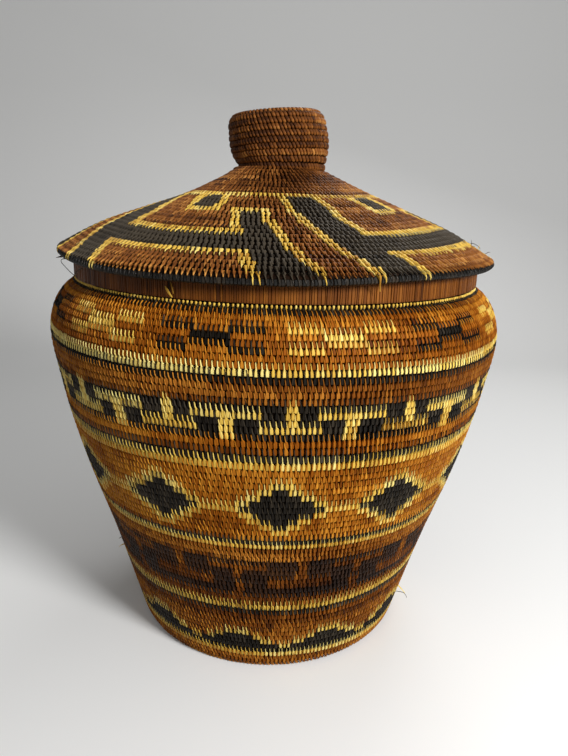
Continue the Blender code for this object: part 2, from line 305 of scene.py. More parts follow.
@dataclass
class Strand:
    """One kind of strand and the geometry nodes that lay it on each point of a cloud.

    Its rings from start to end are given as shares of the strand's own sizes. Each point carries the way that
    it faces, the way that its strand runs, its size across, along and out, and its tone.
    """

    name: str
    place: tuple[float, ...]                         # along its length
    width: tuple[float, ...]
    thickness: tuple[float, ...]
    lift: tuple[float, ...] = (1.0, 1.0)             # 1 is up at the surface, 0 is sunk by the strand's depth
    slant: tuple[float, ...] = (0.0, 0.0)            # sideways, as a share of the whole slant
    wrapped: bool = False                            # round a coil instead of along a surface
    crease: float = math.radians(38.0)               # edges that bend by more stay crisp

    INPUTS = {
        "Geometry": None, "Half Width": 0.45, "Start": -0.5, "Length": 1.8, "Thickness": 0.001, "Rise": 0.0,
        "Depth": 0.002, "Slant": 0.0, "Lean": 0.15, "Lean Spread": 0.06, "Size Spread": 0.08,
        "Coil Radius": 0.0034, "Seed": 1, "Material": None,
    }
    TIP = 0.35               # how much of the lean's spread a strand may tip by
    TOP = 0.8                # half width of a strand at its middle height, and what it loses at its top
    BEVEL = 0.2

    @cached_property
    def tree(self) -> Tree:
        """Build the node tree once.

        Returns:
            The tree, with the strand's sizes as named inputs.
        """
        graph = Graph.group(self.name, 'GeometryNodeTree', self.INPUTS, ("Geometry",))
        cloud = graph.node("GeometryNodeInstanceOnPoints", {
            "Points": graph.given["Geometry"],
            "Instance": self.strand(graph),
            "Rotation": self.turn(graph),
            "Scale": self.size(graph),
        })
        real = graph.node("GeometryNodeRealizeInstances", {"Geometry": cloud})
        smooth = graph.node("GeometryNodeSetShadeSmooth", {"Geometry": real})
        bend = graph.node("GeometryNodeInputMeshEdgeAngle").outputs["Unsigned Angle"]
        crisp = graph.node("GeometryNodeSetShadeSmooth", {
            "Geometry": smooth, "Shade Smooth": graph.math('LESS_THAN', bend, self.crease)}, domain='EDGE')
        graph.node("NodeGroupOutput", {"Geometry": graph.node("GeometryNodeSetMaterial", {
            "Geometry": crisp, "Material": graph.given["Material"]})})
        return graph.tree

    def strand(self, graph: Graph) -> Node:
        """One closed strand: a slim prism, flat on top, whose rings take their sizes from the fields above.

        Args:
            graph: the tree's graph.

        Returns:
            The node that gives the finished strand.
        """
        given = graph.given
        prism = graph.node("GeometryNodeMeshCylinder", {
            "Vertices": 4, "Side Segments": len(self.place) - 1, "Radius": 1.0, "Depth": 1.0},
            fill_type='NGON')
        place = graph.node("ShaderNodeSeparateXYZ", {0: graph.node("GeometryNodeInputPosition")})
        first, second, upright = place.outputs
        out = graph.times(graph.plus(first, second), -1.0)
        across = graph.times(graph.minus(first, second), graph.minus(self.TOP, graph.times(out, self.BEVEL)))
        along = graph.plus(upright, 0.5)
        share = {key: graph.curve(along, getattr(self, key))
                 for key in ("place", "width", "thickness", "lift", "slant")}
        marked = graph.node("GeometryNodeStoreNamedAttribute", {
            "Geometry": prism, "Name": "strand", "Value": graph.xyz(across, share["place"], out),
        }, data_type='FLOAT_VECTOR', domain='POINT')
        body = graph.times(out, graph.times(share["thickness"], given["Thickness"]))
        x = graph.minus(graph.times(across, graph.times(share["width"], given["Half Width"])),
                        graph.times(share["slant"], given["Slant"]))
        run = graph.plus(graph.times(share["place"], given["Length"]), given["Start"])
        if self.wrapped:
            reach = graph.plus(body, given["Coil Radius"])
            y, z = (graph.times(graph.math(wave, run), reach) for wave in ('SINE', 'COSINE'))
        else:
            lift = graph.plus(graph.times(graph.minus(share["lift"], 1.0), given["Depth"]), given["Rise"])
            y, z = run, graph.plus(body, lift)
        return graph.node("GeometryNodeSetPosition", {"Geometry": marked, "Position": graph.xyz(x, y, z)})

    def read(self, graph: Graph, name: str) -> Node:
        """A vector that each point of the cloud carries."""
        return graph.node("GeometryNodeInputNamedAttribute", {"Name": name}, data_type='FLOAT_VECTOR')

    def jitter(self, graph: Graph, spread: object, step: int) -> Socket:
        """Draw a random value for each strand.

        Args:
            graph: the tree's graph.
            spread: how far it goes each way from zero.
            step: what sets this draw apart from the others.

        Returns:
            The value.
        """
        drawn = graph.node("FunctionNodeRandomValue", {
            2: -1.0, 3: 1.0, "Seed": graph.plus(graph.given["Seed"], float(step))}, data_type='FLOAT')
        return graph.times(drawn.outputs[1], spread)

    def turn(self, graph: Graph) -> Node:
        """The strand's turn: out along the facing, on along the run, and a lean that differs a little.

        Args:
            graph: the tree's graph.

        Returns:
            The node that gives the rotation.
        """
        axes = graph.node("FunctionNodeAxesToRotation", {
            "Primary Axis": self.read(graph, "facing"), "Secondary Axis": self.read(graph, "running")},
            primary_axis='Z', secondary_axis='Y')
        spread = graph.given["Lean Spread"]
        lean = graph.plus(graph.given["Lean"], self.jitter(graph, spread, 1))
        tip = self.jitter(graph, graph.times(spread, self.TIP), 2)
        spin = graph.node("FunctionNodeEulerToRotation", {0: graph.xyz(tip, 0.0, lean)})
        return graph.node("FunctionNodeRotateRotation", {"Rotation": axes, "Rotate By": spin},
                          rotation_space='LOCAL')

    def size(self, graph: Graph) -> Node:
        """Take the strand's scale from its point, a little different for each.

        Args:
            graph: the tree's graph.

        Returns:
            The node that gives the scale.
        """
        uneven = [graph.plus(1.0, self.jitter(graph, graph.given["Size Spread"], step)) for step in (3, 4)]
        return graph.node("ShaderNodeVectorMath", {0: self.read(graph, "size"), 1: graph.xyz(*uneven, 1.0)},
                          operation='MULTIPLY')


WALL_STITCH = Strand(
    "wall_stitches",
    place=(0.0, 0.050, 0.240, 0.400, 0.520, 0.680, 1.0),
    width=(0.72, 0.98, 1.0, 0.82, 0.42, 0.24, 0.16),
    thickness=(0.4, 0.9, 1.0, 0.85, 0.65, 0.5, 0.35),
    lift=(0.10, 0.54, 0.66, 0.56, 0.66, 1.0, 0.80),
    slant=(0.0, 0.0, 0.0, 0.06, 0.16, 0.46, 1.0),
)
LID_STITCH = Strand(
    "lid_stitches",
    place=(0.0, 0.058, 0.220, 0.393, 0.566, 0.798, 1.0),
    width=(0.96, 1.0, 0.70, 0.48, 0.30, 0.20, 0.13),
    thickness=(0.4, 0.9, 1.0, 0.8, 0.6, 0.5, 0.35),
    lift=(0.2, 0.62, 0.66, 0.60, 0.70, 1.0, 0.72),
    slant=(0.0, 0.0, 0.08, 0.22, 0.40, 0.70, 1.0),
)
KNOB_STITCH = Strand(
    "knob_stitches",
    place=(0.0, 0.10, 0.30, 0.52, 0.74, 0.90, 1.0),
    width=(0.75, 0.96, 1.0, 1.0, 0.96, 0.80, 0.50),
    thickness=(0.4, 0.9, 1.0, 1.0, 1.0, 0.8, 0.4),
    lift=(0.0, 0.55, 0.92, 1.0, 0.80, 0.35, 0.0),
    slant=(0.0, 0.05, 0.2, 0.45, 0.7, 0.9, 1.0),
    crease=math.pi,
)
BEAD_STITCH = Strand(
    "bead_stitches",
    place=(0.0, 0.12, 0.35, 0.62, 0.85, 1.0),
    width=(0.45, 0.85, 1.0, 0.95, 0.70, 0.30),
    thickness=(0.3, 0.8, 1.0, 1.0, 0.7, 0.3),
    lift=(0.1, 0.7, 1.0, 1.0, 0.6, 0.0),
    crease=math.pi,
)
UPRIGHT_SPLINT = Strand("upright_splints", (0.0, 0.5, 1.0), (1.0, 1.0, 1.0), (1.0, 1.0, 1.0))
COIL_WRAP = Strand(
    "coil_wraps",
    place=(0.0, 0.12, 0.28, 0.42, 0.56, 0.70, 0.85, 1.0),
    width=(0.55, 0.95, 1.0, 1.0, 1.0, 1.0, 0.9, 0.5),
    thickness=(0.3, 0.9, 1.0, 1.0, 1.0, 1.0, 0.9, 0.3),
    wrapped=True,
)
BRIM_HOOK = Strand(
    "brim_hooks",
    place=(0.0, 0.2, 0.4, 0.6, 0.8, 1.0),
    width=(1.0, 0.9, 0.8, 0.66, 0.5, 0.25),
    thickness=(0.4, 0.9, 1.0, 0.9, 0.7, 0.3),
    slant=(0.0, 0.15, 0.35, 0.55, 0.8, 1.0),
    wrapped=True,
)


def around(radius: object, bearing: np.ndarray, height: object) -> np.ndarray:
    """Points at a radius, a bearing in radians and a height, or directions with such parts."""
    return np.stack(np.broadcast_arrays(radius * np.sin(bearing), -radius * np.cos(bearing), height), axis=-1)


def mark(mesh: Mesh, name: str, values: np.ndarray) -> None:
    """Store a number or a vector for each of a mesh's points.

    Args:
        mesh: the mesh.
        name: the name of the attribute.
        values: one number or one row for each point.
    """
    kind, key = ('FLOAT_VECTOR', "vector") if values.ndim == 2 else ('FLOAT', "value")
    layer = mesh.attributes.new(name, kind, 'POINT')
    layer.data.foreach_set(key, values.astype(np.float32).ravel())


@dataclass
class Cloud:
    """Points that strands are laid on."""

    place: np.ndarray
    facing: np.ndarray
    running: np.ndarray
    size: np.ndarray
    tone: np.ndarray

    @classmethod
    def turned(cls, spot: Sequence, down: Sequence, bearing: np.ndarray, size: np.ndarray,
               tone: np.ndarray) -> "Cloud":
        """Lay points round the axis that face out from an outline and run on down it.

        Args:
            spot: the radius and height of the place on the outline.
            down: the radius and height parts of the outline's direction there.
            bearing: each point's bearing, in radians.
            size: each point's size across, along and out.
            tone: each point's tone.

        Returns:
            The cloud.
        """
        dr, dz = down
        place = around(spot[0], bearing, spot[1])
        return cls(place, around(-dz, bearing, dr), around(dr, bearing, dz), size, tone)

    @classmethod
    def joined(cls, parts: Sequence["Cloud"]) -> "Cloud":
        """All the clouds as one."""
        return cls(*(np.concatenate(column) for column in zip(*(vars(part).values() for part in parts))))

    def chosen(self, mask: np.ndarray) -> "Cloud":
        """The points that the mask keeps."""
        return Cloud(*(column[mask] for column in vars(self).values()))

    def moved(self, by: Reshaping) -> "Cloud":
        """Reshape what the points lie on.

        Args:
            by: the reshaping.

        Returns:
            The moved points, with their directions turned to suit.
        """
        step = 0.0005
        place = by(self.place)
        running = by(self.place + step * self.running) - place
        aside = by(self.place + step * np.cross(self.running, self.facing)) - place
        facing = np.cross(aside, running)
        return Cloud(place, facing / np.linalg.norm(facing, axis=1)[:, None],
                     running / np.linalg.norm(running, axis=1)[:, None], self.size, self.tone)

    def mesh(self, name: str) -> Mesh:
        """Write the points as loose vertices with their vectors as attributes.

        Args:
            name: the name of the mesh.

        Returns:
            The mesh.
        """
        mesh = bpy.data.meshes.new(name)
        mesh.vertices.add(len(self.place))
        mesh.vertices.foreach_set("co", self.place.astype(np.float32).ravel())
        for key in ("facing", "running", "size", "tone"):
            mark(mesh, key, getattr(self, key))
        return mesh


def eased(share: np.ndarray) -> np.ndarray:
    """A share from 0 to 1 that starts and ends gently."""
    share = np.clip(share, 0.0, 1.0)
    return share * share * (3.0 - 2.0 * share)


def from_centre(bearing: np.ndarray, centre: float, period: float = 360.0) -> np.ndarray:
    """Degrees from the nearest of the places that repeat round the basket, one of them at the centre."""
    return (bearing - centre + period / 2) % period - period / 2


def near(bearing: np.ndarray, middle: float, reach: float, even: float) -> np.ndarray:
    """How much of something local is felt at each bearing.

    Args:
        bearing: the bearings, in degrees as all of these are.
        middle: where it is.
        reach: how far from there it ends.
        even: how far from there it is still whole.

    Returns:
        A share for each bearing, which is 1 in the even part and fades smoothly to 0 at the reach.
    """
    return eased((reach - np.abs(from_centre(bearing, middle))) / (reach - even))


def brim_drop(bearing: np.ndarray) -> np.ndarray:
    """How much farther down than an even lid's the brim hangs at a bearing in degrees."""
    return BRIM_DROP * near(bearing, *BRIM_FRONT)


def polar(points: np.ndarray) -> tuple[np.ndarray, np.ndarray]:
    """The radius of each point and its bearing in degrees."""
    return np.hypot(points[:, 0], points[:, 1]), np.degrees(np.arctan2(points[:, 0], -points[:, 1]))


def sunk(points: np.ndarray) -> np.ndarray:
    """Sink and raise an even lid where the real one has sunk and risen.

    Args:
        points: points of the even lid.

    Returns:
        Where the real lid has them.
    """
    radius, bearing = polar(points)
    drop = sum(np.interp(radius, *zip(*table)) * near(bearing, *where) for table, where in SAGS)
    return points - drop[:, None] * (0.0, 0.0, 1.0)


def lowered(points: np.ndarray) -> np.ndarray:
    """Points of the brim's coil moved down with the lid and with the brim."""
    return sunk(points) - brim_drop(polar(points)[1])[:, None] * (0.0, 0.0, 1.0)


def stretched(points: np.ndarray) -> np.ndarray:
    """Draw what lies between the lid's last round and the brim's coil down at its outer side.

    Args:
        points: points of the even lid.

    Returns:
        Where the real lid has them.
    """
    start, width = PART_ROUND_SPAN
    share = np.clip((polar(points)[0] - start) / width, 0.0, 1.0)[:, None]
    return sunk(points) * (1.0 - share) + lowered(points) * share


def wandered(points: np.ndarray) -> np.ndarray:
    """Move a wall of level rounds to where the real rounds lie, lower at the sides than in front.

    Args:
        points: places on or in the wall.

    Returns:
        The same places moved along the wall, so that its outline stays as it is.
    """
    radius, bearing = polar(points)
    height = points[:, 2]
    share = eased(0.5 + SIDE_CHANGE * points[:, 0] / radius)
    left, right = (np.interp(height, *zip(*table)) for table in (LEFT_WANDER, RIGHT_WANDER))
    fallen = height - (left * (1.0 - share) + right * share) * (1.0 - near(bearing, *LEVEL_FRONT))
    radii, heights = Outline(BODY_OUTLINE).samples[::-1].T
    grown = (radius + np.interp(fallen, heights, radii) - np.interp(height, heights, radii)) / radius
    return np.stack([points[:, 0] * grown, points[:, 1] * grown, fallen], axis=-1)


def askew(points: np.ndarray) -> np.ndarray:
    """Tip and lean an upright knob as the real one stands.

    Args:
        points: points of the upright knob.

    Returns:
        Where the real knob has them.
    """
    rise = points[:, 2] - KNOB_FOOT
    turn = KNOB_TIP * np.clip(rise / (KNOB_NECK_TOP - KNOB_FOOT), 0.0, 1.0)
    return np.stack([KNOB_ASIDE - KNOB_LEAN * rise + points[:, 0] * np.cos(turn), points[:, 1],
                     points[:, 2] + points[:, 0] * np.sin(turn)], axis=-1)


def lay_strands(name: str, cloud: Cloud, strand: Strand, finish: Material, **sizes: float) -> Piece:
    """Lay a strand on every point and keep the result as a plain mesh.

    Args:
        name: the piece's name.
        cloud: the points.
        strand: the kind of strand.
        finish: the strands' material.
        sizes: values of the tree's inputs, with spaces written as underscores.

    Returns:
        The finished piece, at the origin.
    """
    seedling = bpy.data.objects.new(name + "_points", cloud.mesh(name + "_points"))
    bpy.context.scene.collection.objects.link(seedling)
    layer = seedling.modifiers.new("strands", 'NODES')
    layer.node_group = strand.tree
    values = {key.replace("_", " "): value for key, value in sizes.items()} | {"Material": finish}
    for item in strand.tree.interface.items_tree:
        if item.in_out == 'INPUT' and item.name in values:
            layer[item.identifier] = values[item.name]
    grown = seedling.evaluated_get(bpy.context.evaluated_depsgraph_get())
    mesh = bpy.data.meshes.new_from_object(grown)
    mesh.name = name
    for key in ("facing", "running", "size"):
        if key in mesh.attributes:
            mesh.attributes.remove(mesh.attributes[key])
    seedling.modifiers.clear()
    bpy.data.objects.remove(seedling, do_unlink=True)
    return shown(name, mesh)


def shown(name: str, mesh: Mesh) -> Piece:
    """Link a mesh into the scene.

    Args:
        name: the name of the object.
        mesh: the mesh.

    Returns:
        The object, at the origin.
    """
    piece = bpy.data.objects.new(name, mesh)
    bpy.context.scene.collection.objects.link(piece)
    return piece


def surface(name: str, points: np.ndarray, faces: list, materials: Sequence[Material]) -> Mesh:
    """Make a smoothly shaded mesh.

    Args:
        name: its name.
        points: its points, as rows.
        faces: the points of each face, by number.
        materials: what fills its material slots.

    Returns:
        The mesh, in no object yet.
    """
    mesh = bpy.data.meshes.new(name)
    mesh.from_pydata(points.tolist(), [], faces)
    mesh.polygons.foreach_set("use_smooth", np.ones(len(faces), dtype=bool))
    for material in materials:
        mesh.materials.append(material)
    return mesh


def settle(piece: Piece, body: str, nodes: Sequence[str] = ()) -> Piece:
    """Hand a finished piece to the frame and report it.

    Args:
        piece: the piece, at the origin.
        body: the CAD body that it rides on.
        nodes: the CAD nodes that it stands for.

    Returns:
        The same piece.
    """
    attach(piece, body)
    if nodes:
        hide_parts(*nodes)
    log.info("%s: %d faces on %s", piece.name, len(piece.data.polygons), body)
    return piece


# Finishes


def blank(name: str) -> tuple[Material, Graph]:
    """Start a material.

    Args:
        name: its name.

    Returns:
        The material and its graph.
    """
    material = bpy.data.materials.new(name)
    material.use_nodes = True
    return material, Graph(material.node_tree)


class Effects:
    """Shader groups that several finishes share."""

    @staticmethod
    def grain() -> Tree:
        """Build the look of one splint.

        Returns:
            A group of the long fine streaks that run with it, the painted shade at its tucked ends, and its
            paler tail, which is painted highlight with some wear.
        """
        graph = Graph.group("splint_grain", 'ShaderNodeTree', {"Streaks": 5.0}, ("Shade", "Tuck", "Tail"))
        strand = graph.node("ShaderNodeAttribute", attribute_name="strand").outputs["Vector"]
        tone = graph.node("ShaderNodeAttribute", attribute_name="tone").outputs["Fac"]
        across, along, _ = graph.node("ShaderNodeSeparateXYZ", {0: strand}).outputs
        place = graph.xyz(graph.times(across, graph.given["Streaks"]), along, graph.times(tone, 97.0))
        from_middle = graph.math('ABSOLUTE', graph.minus(along, 0.5))
        graph.node("NodeGroupOutput", {
            "Shade": graph.noise(place, 1.6, 3.0, 0.6),
            "Tuck": graph.ranged(from_middle, 0.40, 0.56, way='SMOOTHSTEP'),
            "Tail": graph.ranged(along, 0.42, 0.70, way='SMOOTHSTEP'),
        })
        return graph.tree

    @staticmethod
    def patches() -> Tree:
        """Build what handling has left on the whole basket.

        Returns:
            A group of broad soft patches of fading, with a little dust.
        """
        graph = Graph.group("faded_patches", 'ShaderNodeTree', {"Size": 9.0}, ("Fade", "Dust"))
        place = graph.node("ShaderNodeTexCoord").outputs["Object"]
        graph.node("NodeGroupOutput", {
            "Fade": graph.noise(place, graph.given["Size"], 2.0),
            "Dust": graph.ranged(graph.noise(place, 210.0, 2.0), 0.55, 0.8),
        })
        return graph.tree

    @staticmethod
    def back_of_stitches() -> Tree:
        """Build the back of sewn rounds.

        Returns:
            A group that reads a map whose u counts stitches and whose v counts rounds.
        """
        graph = Graph.group("back_of_stitches", 'ShaderNodeTree', {"Crowding": 1.0}, ("Height", "Tone"))
        place = graph.node("ShaderNodeUVMap", uv_map="coil")
        along, level, _ = graph.node("ShaderNodeSeparateXYZ", {0: place}).outputs
        round_at, up = graph.math('FLOOR', level), graph.math('FRACT', level)
        slant = graph.plus(graph.times(round_at, 0.37), graph.times(up, 0.35))
        shifted = graph.plus(graph.times(along, graph.given["Crowding"]), slant)
        bow, crest = (graph.math('SINE', graph.times(share, math.pi))
                      for share in (graph.math('FRACT', shifted), up))
        cell = graph.xyz(graph.math('FLOOR', shifted), round_at, 0.0)
        drawn = graph.node("ShaderNodeTexWhiteNoise", {"Vector": cell}, noise_dimensions='2D')
        graph.node("NodeGroupOutput", {
            "Height": graph.times(graph.math('POWER', bow, 0.5), graph.math('POWER', crest, 0.4)),
            "Tone": drawn.outputs["Value"],
        })
        return graph.tree


@dataclass(frozen=True)
class SplintFinish:
    """A dyed root splint: its dark, middle and pale shades and how much it shines."""

    name: str
    dark: Colour
    middle: Colour
    pale: Colour
    # painted shade: the colour that both ends darken to, where the splint dives into the coil
    tuck: Colour
    roughness: float
    grain: float = 0.35
    fade: float = 0.35
    tail_highlight_and_wear: float = 0.16       # how much paler the tail over the next round is: painted highlight, with some wear
    shine: float = 0.20
    streaks: float = 4.0     # how fine the streaks are
    patches: float = 11.0    # how small the faded patches are

    def build(self, grain: Tree, patches: Tree) -> Material:
        """Make the material.

        Args:
            grain: the group of streaks along a splint.
            patches: the group of broad fading.

        Returns:
            The material, which reads the strand's own marks and tone.
        """
        material, graph = blank(self.name)
        material.diffuse_color = (*self.middle, 1.0)
        streaks = graph.node("ShaderNodeGroup", {"Streaks": self.streaks}, node_tree=grain).outputs
        fading = graph.node("ShaderNodeGroup", {"Size": self.patches}, node_tree=patches).outputs
        tone = graph.node("ShaderNodeAttribute", attribute_name="tone").outputs["Fac"]
        shade = graph.times(graph.minus(streaks["Shade"], 0.5), self.grain)
        fade = graph.times(graph.minus(fading["Fade"], 0.5), self.fade)
        # The tail over the next round is made paler: painted highlight, with some wear.
        mixed = graph.plus(graph.plus(tone, shade), graph.plus(fade, graph.times(streaks["Tail"], self.tail_highlight_and_wear)))
        colour = graph.ramp(mixed, ((0.12, self.dark), (0.5, self.middle), (0.88, self.pale)))
        rough = graph.plus(graph.times(shade, 0.5), self.roughness)
        graph.shade(
            # Both ends of the splint are darkened towards the tuck colour: painted shade where it dives into
            # the coil.
            Base_Color=graph.mix(graph.times(streaks["Tuck"], 0.75), colour, (*self.tuck, 1.0)),
            Roughness=graph.plus(rough, graph.times(fading["Dust"], 0.15)),
            Specular_IOR_Level=self.shine,
            Normal=graph.bump(streaks["Shade"], 0.5, 0.0003))
        return material


@dataclass(frozen=True)
class CoreFinish:
    """The rods that show darkly between the stitches."""

    name: str = "rods_in_shade"
    deep: Colour = (0.004, 0.002, 0.001)
    lit: Colour = (0.020, 0.008, 0.003)

    def build(self) -> Material:
        """Make the material.

        Returns:
            The material, streaked along the rods.
        """
        material, graph = blank(self.name)
        place = graph.node("ShaderNodeTexCoord").outputs["Object"]
        lines = graph.node("ShaderNodeMapping", {"Vector": place, "Scale": (60.0, 60.0, 900.0)})
        streaks = graph.noise(lines, 1.0, 3.0)
        graph.shade(
            Base_Color=graph.ramp(streaks, ((0.3, self.deep), (0.75, self.lit))),
            Roughness=0.90,
            Specular_IOR_Level=0.10,
            Normal=graph.bump(streaks, 0.4, 0.0004))
        return material


@dataclass(frozen=True)
class BackFinish:
    """The inside of the sewn rounds, where the backs of the stitches show."""

    name: str
    splint: SplintFinish
    dulled: float = 0.75
    rougher: float = 0.12

    def build(self, back: Tree) -> Material:
        """Make the material.

        Args:
            back: the group of the stitches' backs.

        Returns:
            The material, which reads the map of the coil.
        """
        material, graph = blank(self.name)
        cells = graph.node("ShaderNodeGroup", {"Crowding": 1.0}, node_tree=back).outputs
        stops = [(place, tuple(part * self.dulled for part in colour)) for place, colour in (
            (0.15, self.splint.dark), (0.5, self.splint.middle), (0.9, self.splint.pale))]
        colour = graph.ramp(graph.plus(graph.times(cells["Tone"], 0.5), 0.2), stops)
        # Between the stitches' backs the colour goes to the rods' near-black: the rods show there, in the
        # colour of painted shade.
        gap = graph.ranged(cells["Height"], 0.35, 0.75, 1.0, 0.0)
        graph.shade(
            Base_Color=graph.mix(gap, colour, (*CoreFinish.deep, 1.0)),
            Roughness=self.splint.roughness + self.rougher,
            Specular_IOR_Level=0.25,
            Normal=graph.bump(cells["Height"], 1.0, 0.0011))
        return material


SPLINTS = {
    Dye.BROWN: SplintFinish(
        "brown_root_splint", (0.050, 0.014, 0.003), (0.210, 0.060, 0.006), (0.560, 0.220, 0.028),
        (0.016, 0.004, 0.001), 0.55, tail_highlight_and_wear=0.20, shine=0.06),
    Dye.RUSSET: SplintFinish(
        "russet_root_splint", (0.085, 0.019, 0.001), (0.295, 0.083, 0.005), (0.680, 0.285, 0.028),
        (0.022, 0.006, 0.001), 0.53, tail_highlight_and_wear=0.20, shine=0.06),
    Dye.CREAM: SplintFinish(
        "cream_root_splint", (0.380, 0.180, 0.020), (0.740, 0.475, 0.072), (0.930, 0.780, 0.270),
        (0.140, 0.055, 0.006), 0.46, 0.30, 0.25, 0.14, 0.14),
    Dye.BLACK: SplintFinish(
        "black_root_splint", (0.003, 0.002, 0.001), (0.007, 0.005, 0.003), (0.058, 0.045, 0.030),
        (0.002, 0.001, 0.001), 0.56, 0.45, 0.20, 0.20, 0.10),
    Dye.DUSK: SplintFinish(
        "dark_brown_root_splint", (0.009, 0.003, 0.001), (0.032, 0.012, 0.004), (0.110, 0.044, 0.012),
        (0.005, 0.002, 0.001), 0.54, 0.40, 0.30, 0.20, 0.12),
}
# The lid's brown and russet are greyer than the wall's: painted sheen, the whitish reflection on its upturned
# face.
LID_SHEEN_SPLINTS = {
    Dye.BROWN: SplintFinish(
        "dull_brown_lid_splint", (0.046, 0.015, 0.005), (0.200, 0.066, 0.013), (0.530, 0.230, 0.055),
        (0.016, 0.005, 0.002), 0.54, tail_highlight_and_wear=0.20, shine=0.08),
    Dye.RUSSET: SplintFinish(
        "dull_russet_lid_splint", (0.072, 0.021, 0.005), (0.245, 0.083, 0.016), (0.600, 0.275, 0.062),
        (0.020, 0.006, 0.002), 0.53, tail_highlight_and_wear=0.20, shine=0.08),
}
NECK_SPLINT = SplintFinish(
    "upright_neck_splint", (0.032, 0.008, 0.001), (0.135, 0.039, 0.004), (0.270, 0.092, 0.012),
    (0.070, 0.018, 0.002), 0.42, 0.60, 0.35, 0.0, 0.14)
BRIM_SPLINT = SplintFinish(
    "black_brim_splint", (0.002, 0.002, 0.001), (0.005, 0.004, 0.003), (0.030, 0.022, 0.014),
    (0.002, 0.002, 0.001), 0.40, 0.45, 0.20, 0.10, 0.22)


class Palette:
    """Every material of the basket, made once."""

    def __init__(self) -> None:
        """Build the shared groups and the materials."""
        grain, patches, back = Effects.grain(), Effects.patches(), Effects.back_of_stitches()
        self.splint, lid_sheen_only = ({dye: finish.build(grain, patches) for dye, finish in finishes.items()}
                                 for finishes in (SPLINTS, LID_SHEEN_SPLINTS))
        self.lid_splint = self.splint | lid_sheen_only
        self.neck = NECK_SPLINT.build(grain, patches)
        self.brim = BRIM_SPLINT.build(grain, patches)
        self.neck_back = BackFinish("back_of_neck_splints", NECK_SPLINT).build(back)
        self.core = CoreFinish().build()
        self.back = {dye: BackFinish("back_of_" + dye.value, finish).build(back)
                     for dye, finish in SPLINTS.items()}


# Coiling


def smooth(places: Sequence, steps: int) -> np.ndarray:
    """Draw a smooth curve.

    Args:
        places: points that it runs through, in two or three dimensions.
        steps: how many stretches it has from each place to the next.

    Returns:
        The curve's points, as rows.
    """
    given = np.array(places)
    guide = np.vstack([2 * given[0] - given[1], given, 2 * given[-1] - given[-2]])
    t = np.arange(steps)[:, None] / steps
    parts = [0.5 * (2 * b + (c - a) * t + (2 * a - 5 * b + 4 * c - d) * t ** 2
                    + (3 * b - a - 3 * c + d) * t ** 3)
             for a, b, c, d in zip(guide, guide[1:], guide[2:], guide[3:])]
    return np.vstack([*parts, given[-1]])


def grooves(rounds: int) -> tuple[np.ndarray, np.ndarray]:
    """Places along a stack of rounds, counted in rounds, and how far each lies below the rounds' crests.

    Args:
        rounds: how many rounds there are.

    Returns:
        The places from 0 to the number of rounds, and for each a share that is 1 in a groove and 0 on a crest.
    """
    steps = np.linspace(0.0, rounds, rounds * 4 + 1)
    return steps, 1.0 - np.abs(np.sin(steps * math.pi)) ** 0.6


class Outline:
    """A smooth curve through (radius, height) points that runs down the outside, read by its length.

    It runs on straight for a little way before its first point and after its last.
    """

    STEPS = 24
    RUN_ON = 0.010
    REACH = 0.002            # how far to each side of a place its direction is read

    def __init__(self, points: Sequence[tuple[float, float]]) -> None:
        """Draw the curve.

        Args:
            points: places that it runs through, in order.
        """
        curve = smooth(points, self.STEPS)
        steps = np.hypot(*np.diff(curve, axis=0).T)
        lengths = np.concatenate([[0.0], np.cumsum(steps)])
        self.length = float(lengths[-1])
        before = curve[0] - (curve[1] - curve[0]) / steps[0] * self.RUN_ON
        after = curve[-1] + (curve[-1] - curve[-2]) / steps[-1] * self.RUN_ON
        self.samples = np.vstack([before, curve, after])
        self.lengths = np.concatenate([[-self.RUN_ON], lengths, [self.length + self.RUN_ON]])

    def point(self, distance: np.ndarray | float) -> tuple[np.ndarray, np.ndarray]:
        """Radius and height at a distance along the curve."""
        return (np.interp(distance, self.lengths, self.samples[:, 0]),
                np.interp(distance, self.lengths, self.samples[:, 1]))

    def down(self, distance: np.ndarray | float) -> tuple[np.ndarray, np.ndarray]:
        """Find which way the curve runs.

        Args:
            distance: how far along the curve.

        Returns:
            The radius and height parts of its unit direction.
        """
        back, ahead = (self.point(np.asarray(distance) + step) for step in (-self.REACH, self.REACH))
        dr, dz = ahead[0] - back[0], ahead[1] - back[1]
        run = np.maximum(np.hypot(dr, dz), 1e-9)
        return dr / run, dz / run

    def inside(self, distance: np.ndarray | float, depth: np.ndarray | float) -> np.ndarray:
        """Go in from the curve.

        Args:
            distance: how far along the curve.
            depth: how far inside it.

        Returns:
            Rows of radius and height.
        """
        radius, height = self.point(distance)
        dr, dz = self.down(distance)
        return np.stack([radius + dz * depth, height - dr * depth], axis=-1)

    def distance_at_height(self, height: float) -> float:
        """The length at which a falling curve has come down to a height."""
        return float(np.interp(-height, -self.samples[:, 1], self.lengths))


@dataclass(frozen=True)
class Round:
    """One round of the coil: where its middle lies along the outline, and how its stitches sit."""

    index: int
    distance: float
    pitch: float
    stitches: int
    slant: float = 0.4


